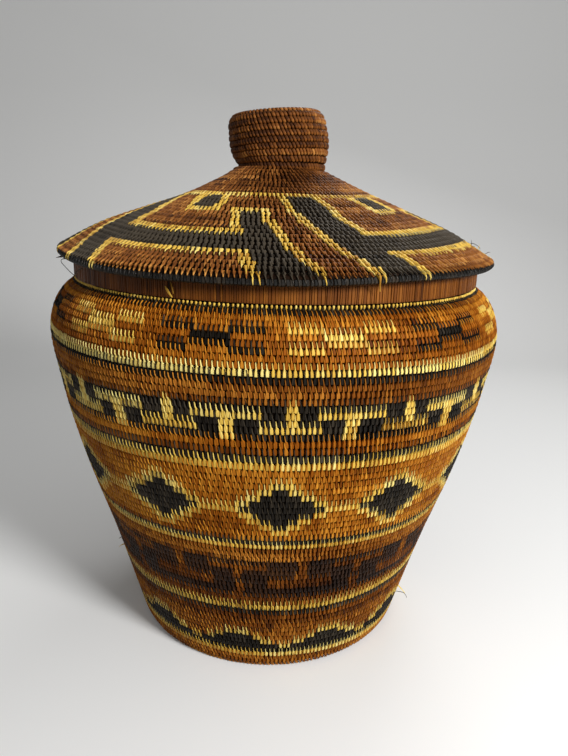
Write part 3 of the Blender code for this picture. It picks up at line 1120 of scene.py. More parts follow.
class Coiler:
    """Lays the stitches of consecutive rounds, so that each row's slanting tails fall between the next's."""

    WAVE = 0.00022           # how far a round waves up and down
    WAVES = ((2, 1.0, 0.11), (5, 0.6, 0.17), (11, 0.4, 0.9))     # crests in a turn, height, drift by round
    SCATTER = 0.00012        # how far single stitches stand off it
    UNEVEN = 0.05            # how far they stand aside, as a share of their spacing
    BUNDLES = (9, 46)        # fewest stitches of one bundle of splints, and one more than the most
    SHADES = (0.05, 0.09)    # how unlike in tone the rounds are, and the bundles and stitches

    def __init__(self, outline: Outline, seed: int, tails_up: bool) -> None:
        """Start a coil.

        Args:
            outline: the curve that the rounds lie on.
            seed: seed of everything uneven in this coil.
            tails_up: whether the stitches' thin ends point up the outline.
        """
        self.outline = outline
        self.random = np.random.default_rng(seed)
        self.tails_up = tails_up
        self.bearings = np.zeros(0)
        self.last_slant = 0.0
        self.waves = self.random.uniform(0.0, math.tau, len(self.WAVES))

    def step(self, count: int) -> np.ndarray:
        """Set the next round's stitches between those of the round before.

        Args:
            count: how many there are to be.

        Returns:
            Their bearings, in radians.
        """
        if not len(self.bearings):
            self.bearings = np.arange(count) * math.tau / count
            return self.bearings
        spots = self.bearings + (0.5 - self.last_slant) * math.tau / len(self.bearings)
        change = count - len(spots)
        gaps = np.append(spots[1:], spots[0] + math.tau) - spots
        wished = gaps * self.random.uniform(0.93, 1.07, len(gaps))
        if change > 0:
            widest = np.argsort(wished)[-change:]
            spots = np.sort(np.concatenate([spots, spots[widest] + gaps[widest] / 2]))
        elif change < 0:
            spots = np.delete(spots, np.argsort(wished)[:-change])
        # The gaps even out, and so do the places round the whole turn
        steps = np.arange(len(spots)) * math.tau / len(spots)
        for _ in range(5):
            before = np.concatenate([[spots[-1] - math.tau], spots[:-1]])
            after = np.concatenate([spots[1:], [spots[0] + math.tau]])
            spots = 0.4 * spots + 0.25 * (before + after) + 0.1 * (steps + np.mean(spots - steps))
        self.bearings = spots
        return spots

    def tones(self, count: int) -> np.ndarray:
        """Draw how pale each stitch is: by the round, by the bundle of splints and by itself.

        Args:
            count: the round's stitches.

        Returns:
            A tone for each, from 0 to 1.
        """
        by_round, by_splint = self.SHADES
        tone = np.full(count, 0.5 + self.random.normal(0.0, by_round))
        start = 0
        while start < count:
            run = int(self.random.integers(*self.BUNDLES))
            tone[start:start + run] += self.random.normal(0.0, by_splint)
            start += run
        return np.clip(tone + self.random.normal(0.0, by_splint, count), 0.02, 0.98)

    def lay(self, coil: Round) -> tuple[Cloud, np.ndarray]:
        """Lay one round.

        Args:
            coil: the round.

        Returns:
            The cloud, and the bearing of each of its points in degrees from -180 to 180.
        """
        bearing = self.step(coil.stitches)
        self.last_slant = coil.slant
        count = len(bearing)
        spacing = (np.roll(bearing, -1) - np.roll(bearing, 1)) % math.tau / 2
        bearing = bearing + self.random.normal(0.0, self.UNEVEN, count) * spacing
        wave = sum(height * np.sin(crests * bearing + start + drift * coil.index)
                   for (crests, height, drift), start in zip(self.WAVES, self.waves))
        distance = coil.distance + self.WAVE * wave + self.random.normal(0.0, self.SCATTER, count)
        spot = self.outline.point(distance)
        size = np.stack([spacing * spot[0], np.full(count, coil.pitch), np.ones(count)], axis=-1)
        cloud = Cloud.turned(spot, self.outline.down(distance), bearing, size, self.tones(count))
        if self.tails_up:
            cloud.running = -cloud.running
        return cloud, from_centre(np.degrees(bearing), 0.0)


def turned(name: str, section: np.ndarray, materials: Sequence[Material], rows: np.ndarray | None = None,
           back_from: int | None = None, stitches: float = 330.0, turns: int = 144,
           moved: Reshaping | None = None) -> Piece:
    """Turn a section about the basket's axis into a closed solid.

    Args:
        name: the piece's name.
        section: rows of radius and height, down the outside and back up the inside. A section whose first and
            last radius are 0 is closed at the axis; any other is a ring.
        materials: the outside's material, and the inside's where it has its own.
        rows: the round that each point of the section lies at, for the map of the stitches' backs.
        back_from: number of the first stretch of the section that has the inside's material.
        stitches: stitches in a turn, for the same map.
        turns: facets in a turn.
        moved: a reshaping of the finished solid.

    Returns:
        The solid, at the origin.
    """
    poles = section[0, 0] < 1e-6 and section[-1, 0] < 1e-6
    rows = np.zeros(len(section)) if rows is None else rows
    ring = section[1:-1] if poles else section
    levels = rows[1:-1] if poles else rows
    count, stretches = len(ring), len(ring) - 1 if poles else len(ring)
    angle = np.arange(turns) * math.tau / turns
    points = around(ring[:, 0], angle[:, None], ring[:, 1]).reshape(-1, 3)
    turn, spot = [grid.ravel() for grid in np.meshgrid(np.arange(turns), np.arange(stretches), indexing="ij")]
    after, below = (turn + 1) % turns * count, (spot + 1) % count
    here = turn * count
    faces = np.stack([here + spot, here + below, after + below, after + spot], axis=-1).tolist()
    back = (spot >= (len(section) if back_from is None else back_from)).astype(np.int32).tolist()
    u = np.stack([turn, turn, turn + 1, turn + 1], axis=-1) / turns * stitches
    v = np.stack([levels[spot], levels[below], levels[below], levels[spot]], axis=-1)
    maps = [np.stack([u, v], axis=-1).reshape(-1, 2)]
    if poles:
        top, foot = turns * count, turns * count + 1
        points = np.vstack([points, [[0.0, 0.0, section[0, 1]], [0.0, 0.0, section[-1, 1]]]])
        for step in range(turns):
            first, second = step * count, (step + 1) % turns * count
            faces += [(top, first, second), (foot, second + count - 1, first + count - 1)]
            maps += [np.array([(step, rows[0]), (step, levels[0]), (step + 1, levels[0]),
                               (step, rows[-1]), (step + 1, levels[-1]), (step, levels[-1])], dtype=float)
                     * (stitches / turns, 1.0)]
        back += [0, int(back_from is not None)] * turns
    if moved:
        points = moved(points)
    mesh = surface(name, points, faces, materials)
    mesh.polygons.foreach_set("material_index", back)
    layer = mesh.uv_layers.new(name="coil")
    layer.data.foreach_set("uv", np.vstack(maps).astype(np.float32).ravel())
    mesh.update()
    return shown(name, mesh)


def ribbed_ring(name: str, outline: Outline, start: float, end: float, rounds: int, first_round: float,
                stitches: float, materials: Sequence[Material], wall: float = WALL,
                moved: Reshaping | None = None) -> Piece:
    """The rods of a band: a closed ring, ribbed round by round on its outside and its inside.

    Args:
        name: the piece's name.
        outline: the curve that the band lies on.
        start: where the band starts along the outline.
        end: where it ends.
        rounds: how many rounds it has.
        first_round: number of its first round, which the inside's map counts on from.
        stitches: stitches in a turn, for the same map.
        materials: the outside's and the inside's material.
        wall: the ring's thickness.
        moved: a reshaping of the finished ring.

    Returns:
        The ring, at the origin.
    """
    steps, groove = grooves(rounds)
    along = start + steps * (end - start) / rounds
    outside = outline.inside(along, GROOVE - ROD_RISE * (1.0 - groove))
    inside = outline.inside(along[::-1], wall - BACK_RISE * groove[::-1])
    rows = first_round + np.concatenate([steps, steps[::-1]])
    return turned(name, np.vstack([outside, inside]), materials, rows, len(outside) - 1, stitches, moved=moved)


# The pattern


@dataclass(frozen=True)
class Motif:
    """A shape of one dye that repeats round a band."""

    dye: Dye
    centre: float                # bearing of the middle of one of them
    repeats: int
    reach: tuple[float, ...]     # half its width in each round of the band, in degrees


@dataclass(frozen=True)
class Pattern:
    """Dyes of a band: a ground, and motifs laid on it one after another."""

    ground: Dye
    motifs: tuple[Motif, ...] = ()
    spread: float = 0.0          # by how many degrees the motifs are drawn apart about the first one's centre

    def dyes(self, row: int, bearing: np.ndarray) -> np.ndarray:
        """The dye of each stitch in one round.

        Args:
            row: the round's number in its band.
            bearing: the stitches' bearings, in degrees.

        Returns:
            A dye for each bearing.
        """
        dyes = np.full(len(bearing), self.ground, dtype=object)
        for motif in self.motifs:
            drawn = bearing - self.spread * np.sin(np.radians(bearing - self.motifs[0].centre))
            away = np.abs(from_centre(drawn, motif.centre, 360.0 / motif.repeats))
            dyes[away < motif.reach[row]] = motif.dye
        return dyes


# Short bars in two steps, cream and black by turns, on russet, a little wider apart at the front
CHECKER_CENTRE = 14.9
CHECKERS = Pattern(Dye.RUSSET, tuple(
    Motif(shade, CHECKER_CENTRE + offset, 7, reach)
    for dye, offset in ((Dye.CREAM, 0.0), (Dye.BLACK, 360.0 / 14))
    for shade, reach in ((dye, (0.0, 0.0, 10.8, 4.1, 4.1, 10.8, 0.0, 0.0)),
                         (Dye.RUSSET, (0.0, 0.0, 3.7, 0.0, 0.0, 3.7, 0.0, 0.0)))), 2.3)

# Cream tees and upturned tees that interlock on black
TEES = Pattern(Dye.BLACK, (
    Motif(Dye.CREAM, 17.4, 14, (0.0, 7.3, 1.6, 1.6, 1.6)),
    Motif(Dye.CREAM, 4.9, 14, (1.25, 1.25, 1.25, 6.6, 0.0)),
))

# Black diamonds with a stepped cream outline, joined point to point by a cream line. Half widths in stitches
STITCH = 1.12                # degrees in a stitch here
DIAMONDS = Pattern(Dye.RUSSET, tuple(
    Motif(dye, 3.5, 12, tuple(STITCH * width for width in (0.0, 0.0, *widths, *widths[-2::-1], 0.0)))
    for dye, widths in ((Dye.CREAM, (2.1, 4.6, 7.0, 9.6, 99.0)), (Dye.BLACK, (0.0, 1.6, 4.0, 6.5, 9.2)))))

# Brown tees and upturned tees on brownish black
KEYS = Pattern(Dye.DUSK, (
    Motif(Dye.BROWN, -8.0, 10, (0.0, 9.0, 1.4, 1.4, 0.0, 1.4, 1.4, 1.4)),
    Motif(Dye.BROWN, 10.4, 10, (1.7, 1.7, 1.7, 1.7, 9.8, 9.8, 0.0, 0.0)),
))

# Black stepped hills under a cream line, on brown
HILLS = Pattern(Dye.BROWN, (
    Motif(Dye.CREAM, 23.2, 11, (4.6, 8.5, 12.3, 99.0, 99.0)),
    Motif(Dye.BLACK, 23.2, 11, (0.0, 4.6, 8.5, 13.9, 99.0)),
))


class LidPattern:
    """Dyes of the lid, whose rounds count from the cream one under the plain crown."""

    SHIFTS = (-77.5, 0.0, 83.0, 182.8)      # where each of the four motifs stands, from the front one
    FIRST_LEFT = ((1, 4.7), (20, 22.8))
    FIRST_RIGHT = ((1, 17.5), (3, 20.0), (5, 21.5), (7, 23.0), (10, 25.5), (16, 29.0), (18, 31.0), (20, 32.4),
                   (21, 33.1))
    SECOND_LEFT = ((5, -14.2), (6, -13.3), (11, -9.2), (16, -6.2), (20, -2.8), (21, -1.9))
    SECOND_RIGHT = ((5, -7.0), (6, -6.0), (11, -0.7), (16, 4.0), (20, 7.8), (21, 8.8))
    BLOCK_LEFT = ((1, -38.5), (4, -36.49))      # the small block that hangs from the cream round
    BLOCK_RIGHT = ((1, -28.6), (4, -26.44))
    CLOSED = 5                                  # the round in which cream closes the block and starts a bar
    CREAM_ENDS = ((-38.8, -22.6), (-17.3, -3.2))
    ARM = (11, 16)                              # first and last round of the level arms, which are cream
    EDGE = ((1, 4.4), (10, 3.3), (20, 2.6), (21, 2.5))      # width of a cream outline in degrees

    @staticmethod
    def at(table: Sequence[tuple[float, float]], row: float) -> float:
        """A slanting edge's bearing at a round."""
        return float(np.interp(row, *zip(*table)))

    @classmethod
    def dyes(cls, row: int, bearing: np.ndarray) -> np.ndarray:
        """Say which dyes a round has.

        Args:
            row: the round's number.
            bearing: the stitches' bearings, in degrees.

        Returns:
            A dye for each bearing.
        """
        ground = Dye.CREAM if row == 0 else Dye.BROWN if row < 12 else Dye.RUSSET
        dyes = np.full(len(bearing), ground, dtype=object)
        if row < 1:
            return dyes
        for shift in cls.SHIFTS:
            away = from_centre(bearing, shift)
            cls.bar(row, away, dyes, cls.FIRST_LEFT, cls.FIRST_RIGHT)
            if row < cls.CLOSED:
                cls.bar(row, away, dyes, cls.BLOCK_LEFT, cls.BLOCK_RIGHT)
            elif row > cls.CLOSED:
                cls.bar(row, away, dyes, cls.SECOND_LEFT, cls.SECOND_RIGHT)
            else:
                for low, high in cls.CREAM_ENDS:
                    dyes[(away > low) & (away < high)] = Dye.CREAM
        for shift, following in zip(cls.SHIFTS, (*cls.SHIFTS[1:], cls.SHIFTS[0] + 360.0)):
            cls.arm(row, (bearing - shift + 90.0) % 360.0 - 90.0, dyes, following - shift)
        return dyes

    @classmethod
    def bar(cls, row: int, away: np.ndarray, dyes: np.ndarray, left: Sequence, right: Sequence) -> None:
        """Lay a slanting black bar with its cream outlines.

        Args:
            row: the round's number.
            away: degrees from the motif's place.
            dyes: the round's dyes, which are changed.
            left: where its left side is at certain rounds.
            right: where its right side is.
        """
        low, high, edge = cls.at(left, row), cls.at(right, row), cls.at(cls.EDGE, row)
        dyes[(away > low - edge) & (away < high + edge)] = Dye.CREAM
        dyes[(away > low) & (away < high)] = Dye.BLACK

    @classmethod
    def arm(cls, row: int, away: np.ndarray, dyes: np.ndarray, gap: float) -> None:
        """Lay the level black arm from one motif's first bar to the next motif's second.

        Args:
            row: the round's number.
            away: degrees from the motif's place.
            dyes: the round's dyes, which are changed.
            gap: degrees to the next motif.
        """
        first, last = cls.ARM
        if first <= row <= last:
            low, high = cls.at(cls.FIRST_RIGHT, row) - 0.5, gap + cls.at(cls.SECOND_LEFT, row) + 0.5
            dyes[(away >= low) & (away <= high)] = Dye.CREAM if row in cls.ARM else Dye.BLACK


@dataclass(frozen=True)
class Band:
    """A run of rounds that is one node of the CAD model."""

    node: str
    rounds: int
    pitch: float
    ground: Dye                      # the dye whose finish the node has in the record
    pattern: Pattern | None = None   # plain in that dye where there is none
    slant: float = 0.20              # how far the tails run to the left over the next round, in stitches
    tone: float = 0.0                # how much paler its splints are than usual


# Sub-assemblies


# Usual sizes of stitches, as inputs of their tree
USUAL_SIZES = {"Half_Width": 0.43, "Start": -0.52, "Length": 1.94, "Thickness": 0.0010, "Rise": 0.0009,
               "Depth": 0.0024, "Lean_Spread": 0.06, "Size_Spread": 0.06}


def lay_by_dye(palette: Palette, strand: Strand, name: str, cloud: Cloud, dyes: np.ndarray, body: str,
               seed: int, slant: float = 0.4, pale_slant: float = 0.15, **sizes: float) -> None:
    """Lay a band's stitches as one piece for each dye.

    Args:
        palette: the materials.
        strand: the shape of this band's stitches.
        name: the band's name, which starts the pieces' names.
        cloud: all the stitches of the band.
        dyes: the dye of each.
        body: the CAD body that the pieces ride on.
        seed: seed of the uneven lean and size.
        slant: how far the tails run aside over the next round, in stitches.
        pale_slant: the most that the tails of cream stitches run aside.
        sizes: inputs of the strand's tree that differ from the usual.
    """
    splints = palette.lid_splint if body == LID else palette.splint
    for dye in Dye:
        mask = dyes == dye
        if not mask.any():
            continue
        own = min(slant, pale_slant) if dye is Dye.CREAM else slant
        values = USUAL_SIZES | {"Lean": 0.25 * own, "Slant": 1.05 * own, "Seed": seed} | sizes
        piece = lay_strands(f"{name}_{dye.name.lower()}_stitches", cloud.chosen(mask), strand, splints[dye],
                            **values)
        settle(piece, body)


def all_brown(cloud: Cloud) -> np.ndarray:
    """The dyes of a cloud of plain brown stitches."""
    return np.full(len(cloud.place), Dye.BROWN, dtype=object)


@dataclass
class BasketWall:
    """The flaring wall of the body, from the rim down to the foot."""

    palette: Palette
    bands: tuple[Band, ...] = (
        Band("rim_cream_round", 1, 0.00700, Dye.CREAM),
        Band("rim_black_round", 1, 0.00510, Dye.BLACK, slant=0.14),
        Band("shoulder_checker_band", 8, 0.00567, Dye.RUSSET, CHECKERS, 0.18, -0.09),
        Band("shoulder_cream_round", 1, 0.00610, Dye.CREAM, slant=0.14),
        Band("shoulder_black_round", 1, 0.00630, Dye.BLACK, slant=0.14),
        Band("brown_rounds_above_tee_band", 3, 0.00603, Dye.BROWN, tone=-0.05),
        Band("interlocking_tee_band", 5, 0.00664, Dye.BLACK, TEES, 0.18),
        Band("brown_rounds_below_tee_band", 2, 0.00700, Dye.BROWN, Pattern(Dye.RUSSET)),
        Band("upper_belly_black_round", 1, 0.00770, Dye.BLACK, slant=0.14),
        Band("upper_belly_cream_round", 1, 0.00770, Dye.CREAM, slant=0.14),
        Band("diamond_band", 12, 0.00676, Dye.RUSSET, DIAMONDS, tone=0.03),
        Band("lower_belly_black_round", 1, 0.00540, Dye.BLACK, slant=0.14),
        Band("lower_belly_cream_round", 1, 0.00540, Dye.CREAM, slant=0.14),
        Band("brown_rounds_above_key_band", 3, 0.00582, Dye.BROWN),
        Band("dark_key_band", 8, 0.00623, Dye.DUSK, KEYS, 0.18, -0.17),
        Band("brown_rounds_below_key_band", 2, 0.00592, Dye.BROWN, tone=-0.10),
        Band("taper_cream_round", 1, 0.00690, Dye.CREAM, slant=0.14),
        Band("taper_black_round", 1, 0.00690, Dye.BLACK, slant=0.14),
        Band("brown_rounds_above_hill_band", 4, 0.00638, Dye.BROWN, tone=-0.12),
        Band("hill_band", 5, 0.00635, Dye.BLACK, HILLS, 0.18, -0.08),
        Band("foot_cream_round", 1, 0.00640, Dye.CREAM, slant=0.14),
        Band("foot_rounds", 2, 0.00540, Dye.BROWN),
    )
    stitch_counts: tuple[tuple[int, int], ...] = (       # as (round, stitches)
        (0, 346), (12, 346), (17, 336), (22, 322), (35, 320), (40, 304), (44, 276), (50, 262), (56, 246),
        (65, 230))

    # The beads on the rim, which are seen under the hoop
    RIM_SIZES = {"Half_Width": 0.29, "Start": -0.22, "Length": 0.50, "Thickness": 0.0012, "Lean": 0.0,
                 "Slant": 0.0}

    def build(self) -> None:
        """Lay the rounds from the foot up, as they are coiled, and dress each band."""
        outline = Outline(BODY_OUTLINE)
        stretch = outline.length / sum(band.rounds * band.pitch for band in self.bands)
        coiler = Coiler(outline, 11, tails_up=True)
        rounds = self.rounds(stretch)
        laid = {coil.index: coiler.lay(coil) for coil in reversed(rounds)}
        reached, index = 0.0, 0
        for number, band in enumerate(self.bands):
            end = reached + band.rounds * band.pitch * stretch
            rods = ribbed_ring(band.node + "_rods", outline, reached, end, band.rounds, index,
                               self.count(index), (self.palette.core, self.palette.back[band.ground]),
                               moved=wandered)
            settle(rods, BODY, (band.node,))
            rows = [laid[index + step] for step in range(band.rounds)]
            pattern = band.pattern or Pattern(band.ground)
            dyes = np.concatenate([pattern.dyes(step, bearing) for step, (_, bearing) in enumerate(rows)])
            cloud = Cloud.joined([row[0] for row in rows]).moved(wandered)
            cloud.tone += band.tone
            if number:
                lay_by_dye(self.palette, WALL_STITCH, band.node, cloud, dyes, BODY, 100 + number, band.slant)
            else:
                lay_by_dye(self.palette, BEAD_STITCH, band.node, cloud, dyes, BODY, 100, **self.RIM_SIZES)
            reached, index = end, index + band.rounds

    def count(self, index: int) -> int:
        """Stitches in a round."""
        return round(float(np.interp(index, *zip(*self.stitch_counts))))

    def rounds(self, stretch: float) -> list[Round]:
        """List every round of the wall.

        Args:
            stretch: what makes the bands' heights fill the outline.

        Returns:
            The rounds, rim first.
        """
        made, reached = [], 0.0
        for band in self.bands:
            for _ in range(band.rounds):
                pitch = band.pitch * stretch
                made.append(Round(len(made), reached + pitch / 2, pitch, self.count(len(made)), band.slant))
                reached += pitch
        return made


@dataclass
class Lid:
    """The domed lid: a plain crown, the slanting bars, and the black wrapped brim."""

    palette: Palette
    bands: tuple[tuple[str, int, Dye], ...] = (
        ("lid_crown_rounds", 9, Dye.BROWN),
        ("lid_cream_round", 1, Dye.CREAM),
        ("lid_upper_key_rounds", 4, Dye.RUSSET),
        ("lid_middle_key_rounds", 6, Dye.BROWN),
        ("lid_black_arm_rounds", 5, Dye.BLACK),
        ("lid_lower_rounds", 5, Dye.RUSSET),
    )
    flange_radius: float = 0.2076
    flange_rounds: int = 3
    slant: float = 0.20          # how far the tails run to the right over the next round, in stitches
    brim_coil: float = 0.0068
    brim_spacing: float = 0.0031
    faded: float = 0.48          # how much paler the black splints are here than on the wall: painted sheen
    spacings: tuple[tuple[float, float], ...] = (        # as (radius, spacing of the stitches)
        (0.05, 0.0042), (0.105, 0.0042), (0.165, 0.0048), (0.2, 0.0049))
    tones: tuple[tuple[int, float], ...] = (             # as (round, how much paler)
        (4, -0.14), (10, -0.04), (20, -0.09), (29, -0.09))

    STITCH_SIZES = {"Start": -0.48, "Length": 1.66, "Half_Width": 0.44, "Rise": 0.0012, "Depth": 0.0018}
    WRAP_SIZES = {"Start": math.radians(-75.0), "Length": math.radians(300.0), "Thickness": 0.0005,
                  "Lean": 0.16, "Lean_Spread": 0.05, "Size_Spread": 0.04}
    HOOK_SIZES = {"Start": math.radians(-70.0), "Half_Width": 0.20, "Thickness": 0.0005, "Slant": 0.25,
                  "Lean": 0.0, "Lean_Spread": 0.08, "Size_Spread": 0.05}
    CREAM_HOOK, DARK_HOOK = math.radians(165.0), math.radians(140.0)     # how far they reach round the brim
    HOOK_SHIFT = 0.55                        # how far along they stand from their stitch, by its slant
    WRAP_WIDTH = 0.56                        # half a wrap's width, as a share of the wraps' spacing
    WRAP_SINK, HOOK_RISE = 0.0006, 0.0003    # how far inside and outside the coil's radius they lie
    PART_ROUND_SIZES = {"Start": -0.50, "Length": 1.12, "Half_Width": 0.41}
    PART_ROUND_RUN = (0.0032, -0.0022)       # from the lid's last round to the foot of the part round
    COIL_TUCK = 0.0004                       # how much deeper than the rounds the brim's coil lies
    ROD_INSET = 0.0009                       # how much slimmer than the wrapped coil its rods are
    MIDDLE_PITCH, MIDDLE_STITCHES, MIDDLE_DULL = 0.0068, 60, 0.16
    UNDER_ROUNDS = 8                         # rounds that show from below inside the crown's first
    BACK_SPACING = 0.0048
    FLANGE_WALL, FLANGE_GROOVE, FLANGE_SINK = 0.0046, 0.0009, 0.0004

    @property
    def total(self) -> int:
        """How many whole rounds the lid has."""
        return sum(band[1] for band in self.bands)

    def dyes(self, index: int, bearing: np.ndarray) -> np.ndarray:
        """The dyes of one of the lid's rounds, counted from the knob's foot, at bearings in degrees."""
        return LidPattern.dyes(index - self.bands[0][1], bearing)

    def fade(self, cloud: Cloud, dyes: np.ndarray) -> None:
        """Make the black stitches of a cloud paler: painted sheen."""
        cloud.tone += self.faded * (dyes == Dye.BLACK)

    def build(self) -> None:
        """Lay the rounds from the knob's foot out to the brim."""
        outline = Outline(LID_OUTLINE)
        pitch = outline.length / self.total
        coiler = Coiler(outline, 23, tails_up=False)
        laid = []
        for index in range(self.total):
            distance = (index + 0.5) * pitch
            radius = float(outline.point(distance)[0])
            count = round(math.tau * radius / float(np.interp(radius, *zip(*self.spacings))))
            laid.append(coiler.lay(Round(index, distance, pitch, count, -self.slant)))
            laid[-1][0].tone += float(np.interp(index, *zip(*self.tones)))
        first = 0
        for number, (node, rounds, ground) in enumerate(self.bands):
            start = first * pitch
            rods = ribbed_ring(node + "_rods", outline, start, start + rounds * pitch, rounds, first,
                               math.tau * float(outline.point(start + 0.01)[0]) / self.BACK_SPACING,
                               (self.palette.core, self.palette.back[ground]), moved=sunk)
            settle(rods, LID, (node,))
            rows = laid[first:first + rounds]
            dyes = np.concatenate([self.dyes(first + step, bearing) for step, (_, bearing) in enumerate(rows)])
            cloud = Cloud.joined([row[0] for row in rows]).moved(sunk)
            self.fade(cloud, dyes)
            lay_by_dye(self.palette, LID_STITCH, node, cloud, dyes, LID, 200 + number, self.slant,
                       self.slant, **self.STITCH_SIZES)
            first += rounds
        part = self.part_round(outline, coiler)
        self.brim(outline, laid[-1], part)
        self.middle(outline, coiler)
        self.flange()

    def middle(self, outline: Outline, coiler: Coiler) -> None:
        """The closed middle of the lid and the round that the knob's foot stands on.

        Args:
            outline: the lid's outline.
            coiler: what laid the lid's rounds, which starts anew here.
        """
        coiler.bearings = np.zeros(0)
        pitch, count = self.MIDDLE_PITCH, self.MIDDLE_STITCHES
        cloud = coiler.lay(Round(-1, -pitch / 2, pitch, count, -self.slant))[0]
        cloud.tone -= self.MIDDLE_DULL
        lay_by_dye(self.palette, LID_STITCH, "lid_crown_middle", cloud, all_brown(cloud), LID, 210, self.slant,
                   **self.STITCH_SIZES)
        edge = outline.inside(0.0, GROOVE)
        under = outline.inside(0.0, WALL)
        steps, groove = (column[:-1] for column in grooves(self.UNDER_ROUNDS))
        reach = np.linspace(float(under[0]), 0.0, len(steps))
        foot = np.stack([reach, under[1] + BACK_RISE * groove], axis=-1)
        section = np.vstack([[(0.0, edge[1])], [edge], foot])
        rows = np.concatenate([[0.0, 0.0], -steps])
        brown = self.palette.back[Dye.BROWN]
        settle(turned("lid_crown_middle", section, (self.palette.core, brown), rows, 1, count), LID)

    def flange(self) -> None:
        """The sewn ring under the lid that drops into the neck hoop."""
        low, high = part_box("lid_locating_flange")
        outside = Outline(((self.flange_radius, high[2]), (self.flange_radius, low[2])))
        brown = self.palette.back[Dye.BROWN]
        steps, groove = grooves(self.flange_rounds)
        along = steps * outside.length / self.flange_rounds
        depth = self.FLANGE_GROOVE * groove
        section = np.vstack([outside.inside(along, depth),
                             outside.inside(along[::-1], self.FLANGE_WALL - depth[::-1])])
        section[[0, -1], 1] -= self.FLANGE_SINK
        levels = np.concatenate([steps, steps[::-1]])
        settle(turned("lid_flange_rounds", section, (brown,), levels, None, 290.0), LID,
               ("lid_locating_flange",))

    def part_round(self, outline: Outline, coiler: Coiler) -> tuple[Cloud, np.ndarray]:
        """The round that lies only at the front, between the last whole round and the lowered brim.

        Args:
            outline: the lid's outline.
            coiler: what laid the whole rounds.

        Returns:
            Its stitches and the bearing of each, in degrees.
        """
        top = np.array(outline.point(outline.length))
        foot = top + self.PART_ROUND_RUN
        count = round(math.tau * top[0] / self.spacings[-1][1])
        flat, bearing = coiler.lay(Round(self.total, outline.length, self.brim_coil, count, -self.slant))
        run = np.tile(foot - top, (len(bearing), 1)) - brim_drop(bearing)[:, None] * (0.0, 1.0)
        length = np.hypot(*run.T)
        size = np.stack([flat.size[:, 0], length, np.ones(len(bearing))], axis=-1)
        cloud = Cloud.turned((top + run / 2).T, (run / length[:, None]).T, np.radians(bearing), size,
                             flat.tone)
        cloud.place = sunk(cloud.place)
        dyes = self.dyes(self.total, bearing)
        self.fade(cloud, dyes)
        here = brim_drop(bearing) > PART_ROUND_FROM
        lay_by_dye(self.palette, LID_STITCH, "lid_part_round", cloud.chosen(here), dyes[here], LID, 220,
                   self.slant, self.slant, **self.PART_ROUND_SIZES)
        section = np.array([top + (-0.0022, -0.0002), top + (0.0008, -0.0012), foot + (-0.0006, -0.0006),
                            foot + (-0.0040, -0.0020), top + (-0.0040, -0.0046)])
        rods = turned("lid_part_round_rods", section, (self.palette.core,), moved=stretched)
        settle(rods, LID)
        return cloud.chosen(here), bearing[here]

    def brim(self, outline: Outline, last: tuple[Cloud, np.ndarray], part: tuple[Cloud, np.ndarray]) -> None:
        """The thick coil at the lid's edge and the wraps round it.

        Args:
            outline: the lid's outline, whose end carries the coil.
            last: the stitches of the lid's last whole round and the bearing of each, in degrees.
            part: the same of the part round at the front.
        """
        middle = outline.inside(outline.length, WALL / 2 + self.COIL_TUCK)
        down = outline.down(outline.length)
        half = self.brim_coil / 2
        centre = (middle[0] + down[0] * half, middle[1] + down[1] * half)
        turns = -np.arange(12) * math.tau / 12
        ring = centre + (half - self.ROD_INSET) * np.stack([np.cos(turns), np.sin(turns)], axis=-1)
        rods = turned("lid_brim_rods", ring, (self.palette.core,), moved=lowered)
        settle(rods, LID, ("lid_brim_coil",))
        count = round(math.tau * centre[0] / self.brim_spacing)
        random = np.random.default_rng(31)
        bearing = (np.arange(count) + random.normal(0.0, 0.07, count)) * math.tau / count
        tone = np.clip(random.normal(0.50, 0.16, count), 0.02, 0.98)
        cloud = Cloud.turned(centre, down, bearing, np.ones((count, 3)), tone).moved(lowered)
        wraps = lay_strands("lid_brim_wraps", cloud, COIL_WRAP, self.palette.brim, **self.WRAP_SIZES,
                            Half_Width=self.WRAP_WIDTH * self.brim_spacing,
                            Coil_Radius=half - self.WRAP_SINK, Seed=310)
        settle(wraps, LID)
        self.hooks(centre, down, last, part)

    def hooks(self, centre: tuple[float, float], down: tuple[float, float], last: tuple[Cloud, np.ndarray],
              part: tuple[Cloud, np.ndarray]) -> None:
        """The tails of the outermost stitches, which hook over the brim.

        Args:
            centre: the radius and height of the brim coil's middle.
            down: the radius and height parts of the lid's direction there.
            last: the stitches of the lid's last whole round and the bearing of each, in degrees.
            part: the same of the part round at the front.
        """
        whole = brim_drop(last[1]) <= PART_ROUND_FROM
        stitches = Cloud.joined([last[0].chosen(whole), part[0]])
        rows = np.repeat((self.total - 1, self.total), (int(whole.sum()), len(part[1])))
        degrees = np.concatenate([last[1][whole], part[1]])
        bearing = np.radians(degrees) + self.HOOK_SHIFT * self.slant * stitches.size[:, 0] / centre[0]
        size = np.ones((len(bearing), 3))
        size[:, 0] = stitches.size[:, 0]
        hooks = Cloud.turned(centre, down, bearing, size, stitches.tone).moved(lowered)
        dyes = np.array([self.dyes(row, np.array([degree]))[0] for row, degree in zip(rows, degrees)])
        for dye in (Dye.RUSSET, Dye.CREAM, Dye.BLACK):
            reach, splint = ((self.CREAM_HOOK, self.palette.splint[dye]) if dye is Dye.CREAM
                             else (self.DARK_HOOK, self.palette.brim))
            piece = lay_strands(f"lid_brim_{dye.name.lower()}_hooks", hooks.chosen(dyes == dye), BRIM_HOOK,
                                splint, **self.HOOK_SIZES, Length=reach,
                                Coil_Radius=self.brim_coil / 2 + self.HOOK_RISE, Seed=320)
            settle(piece, LID)


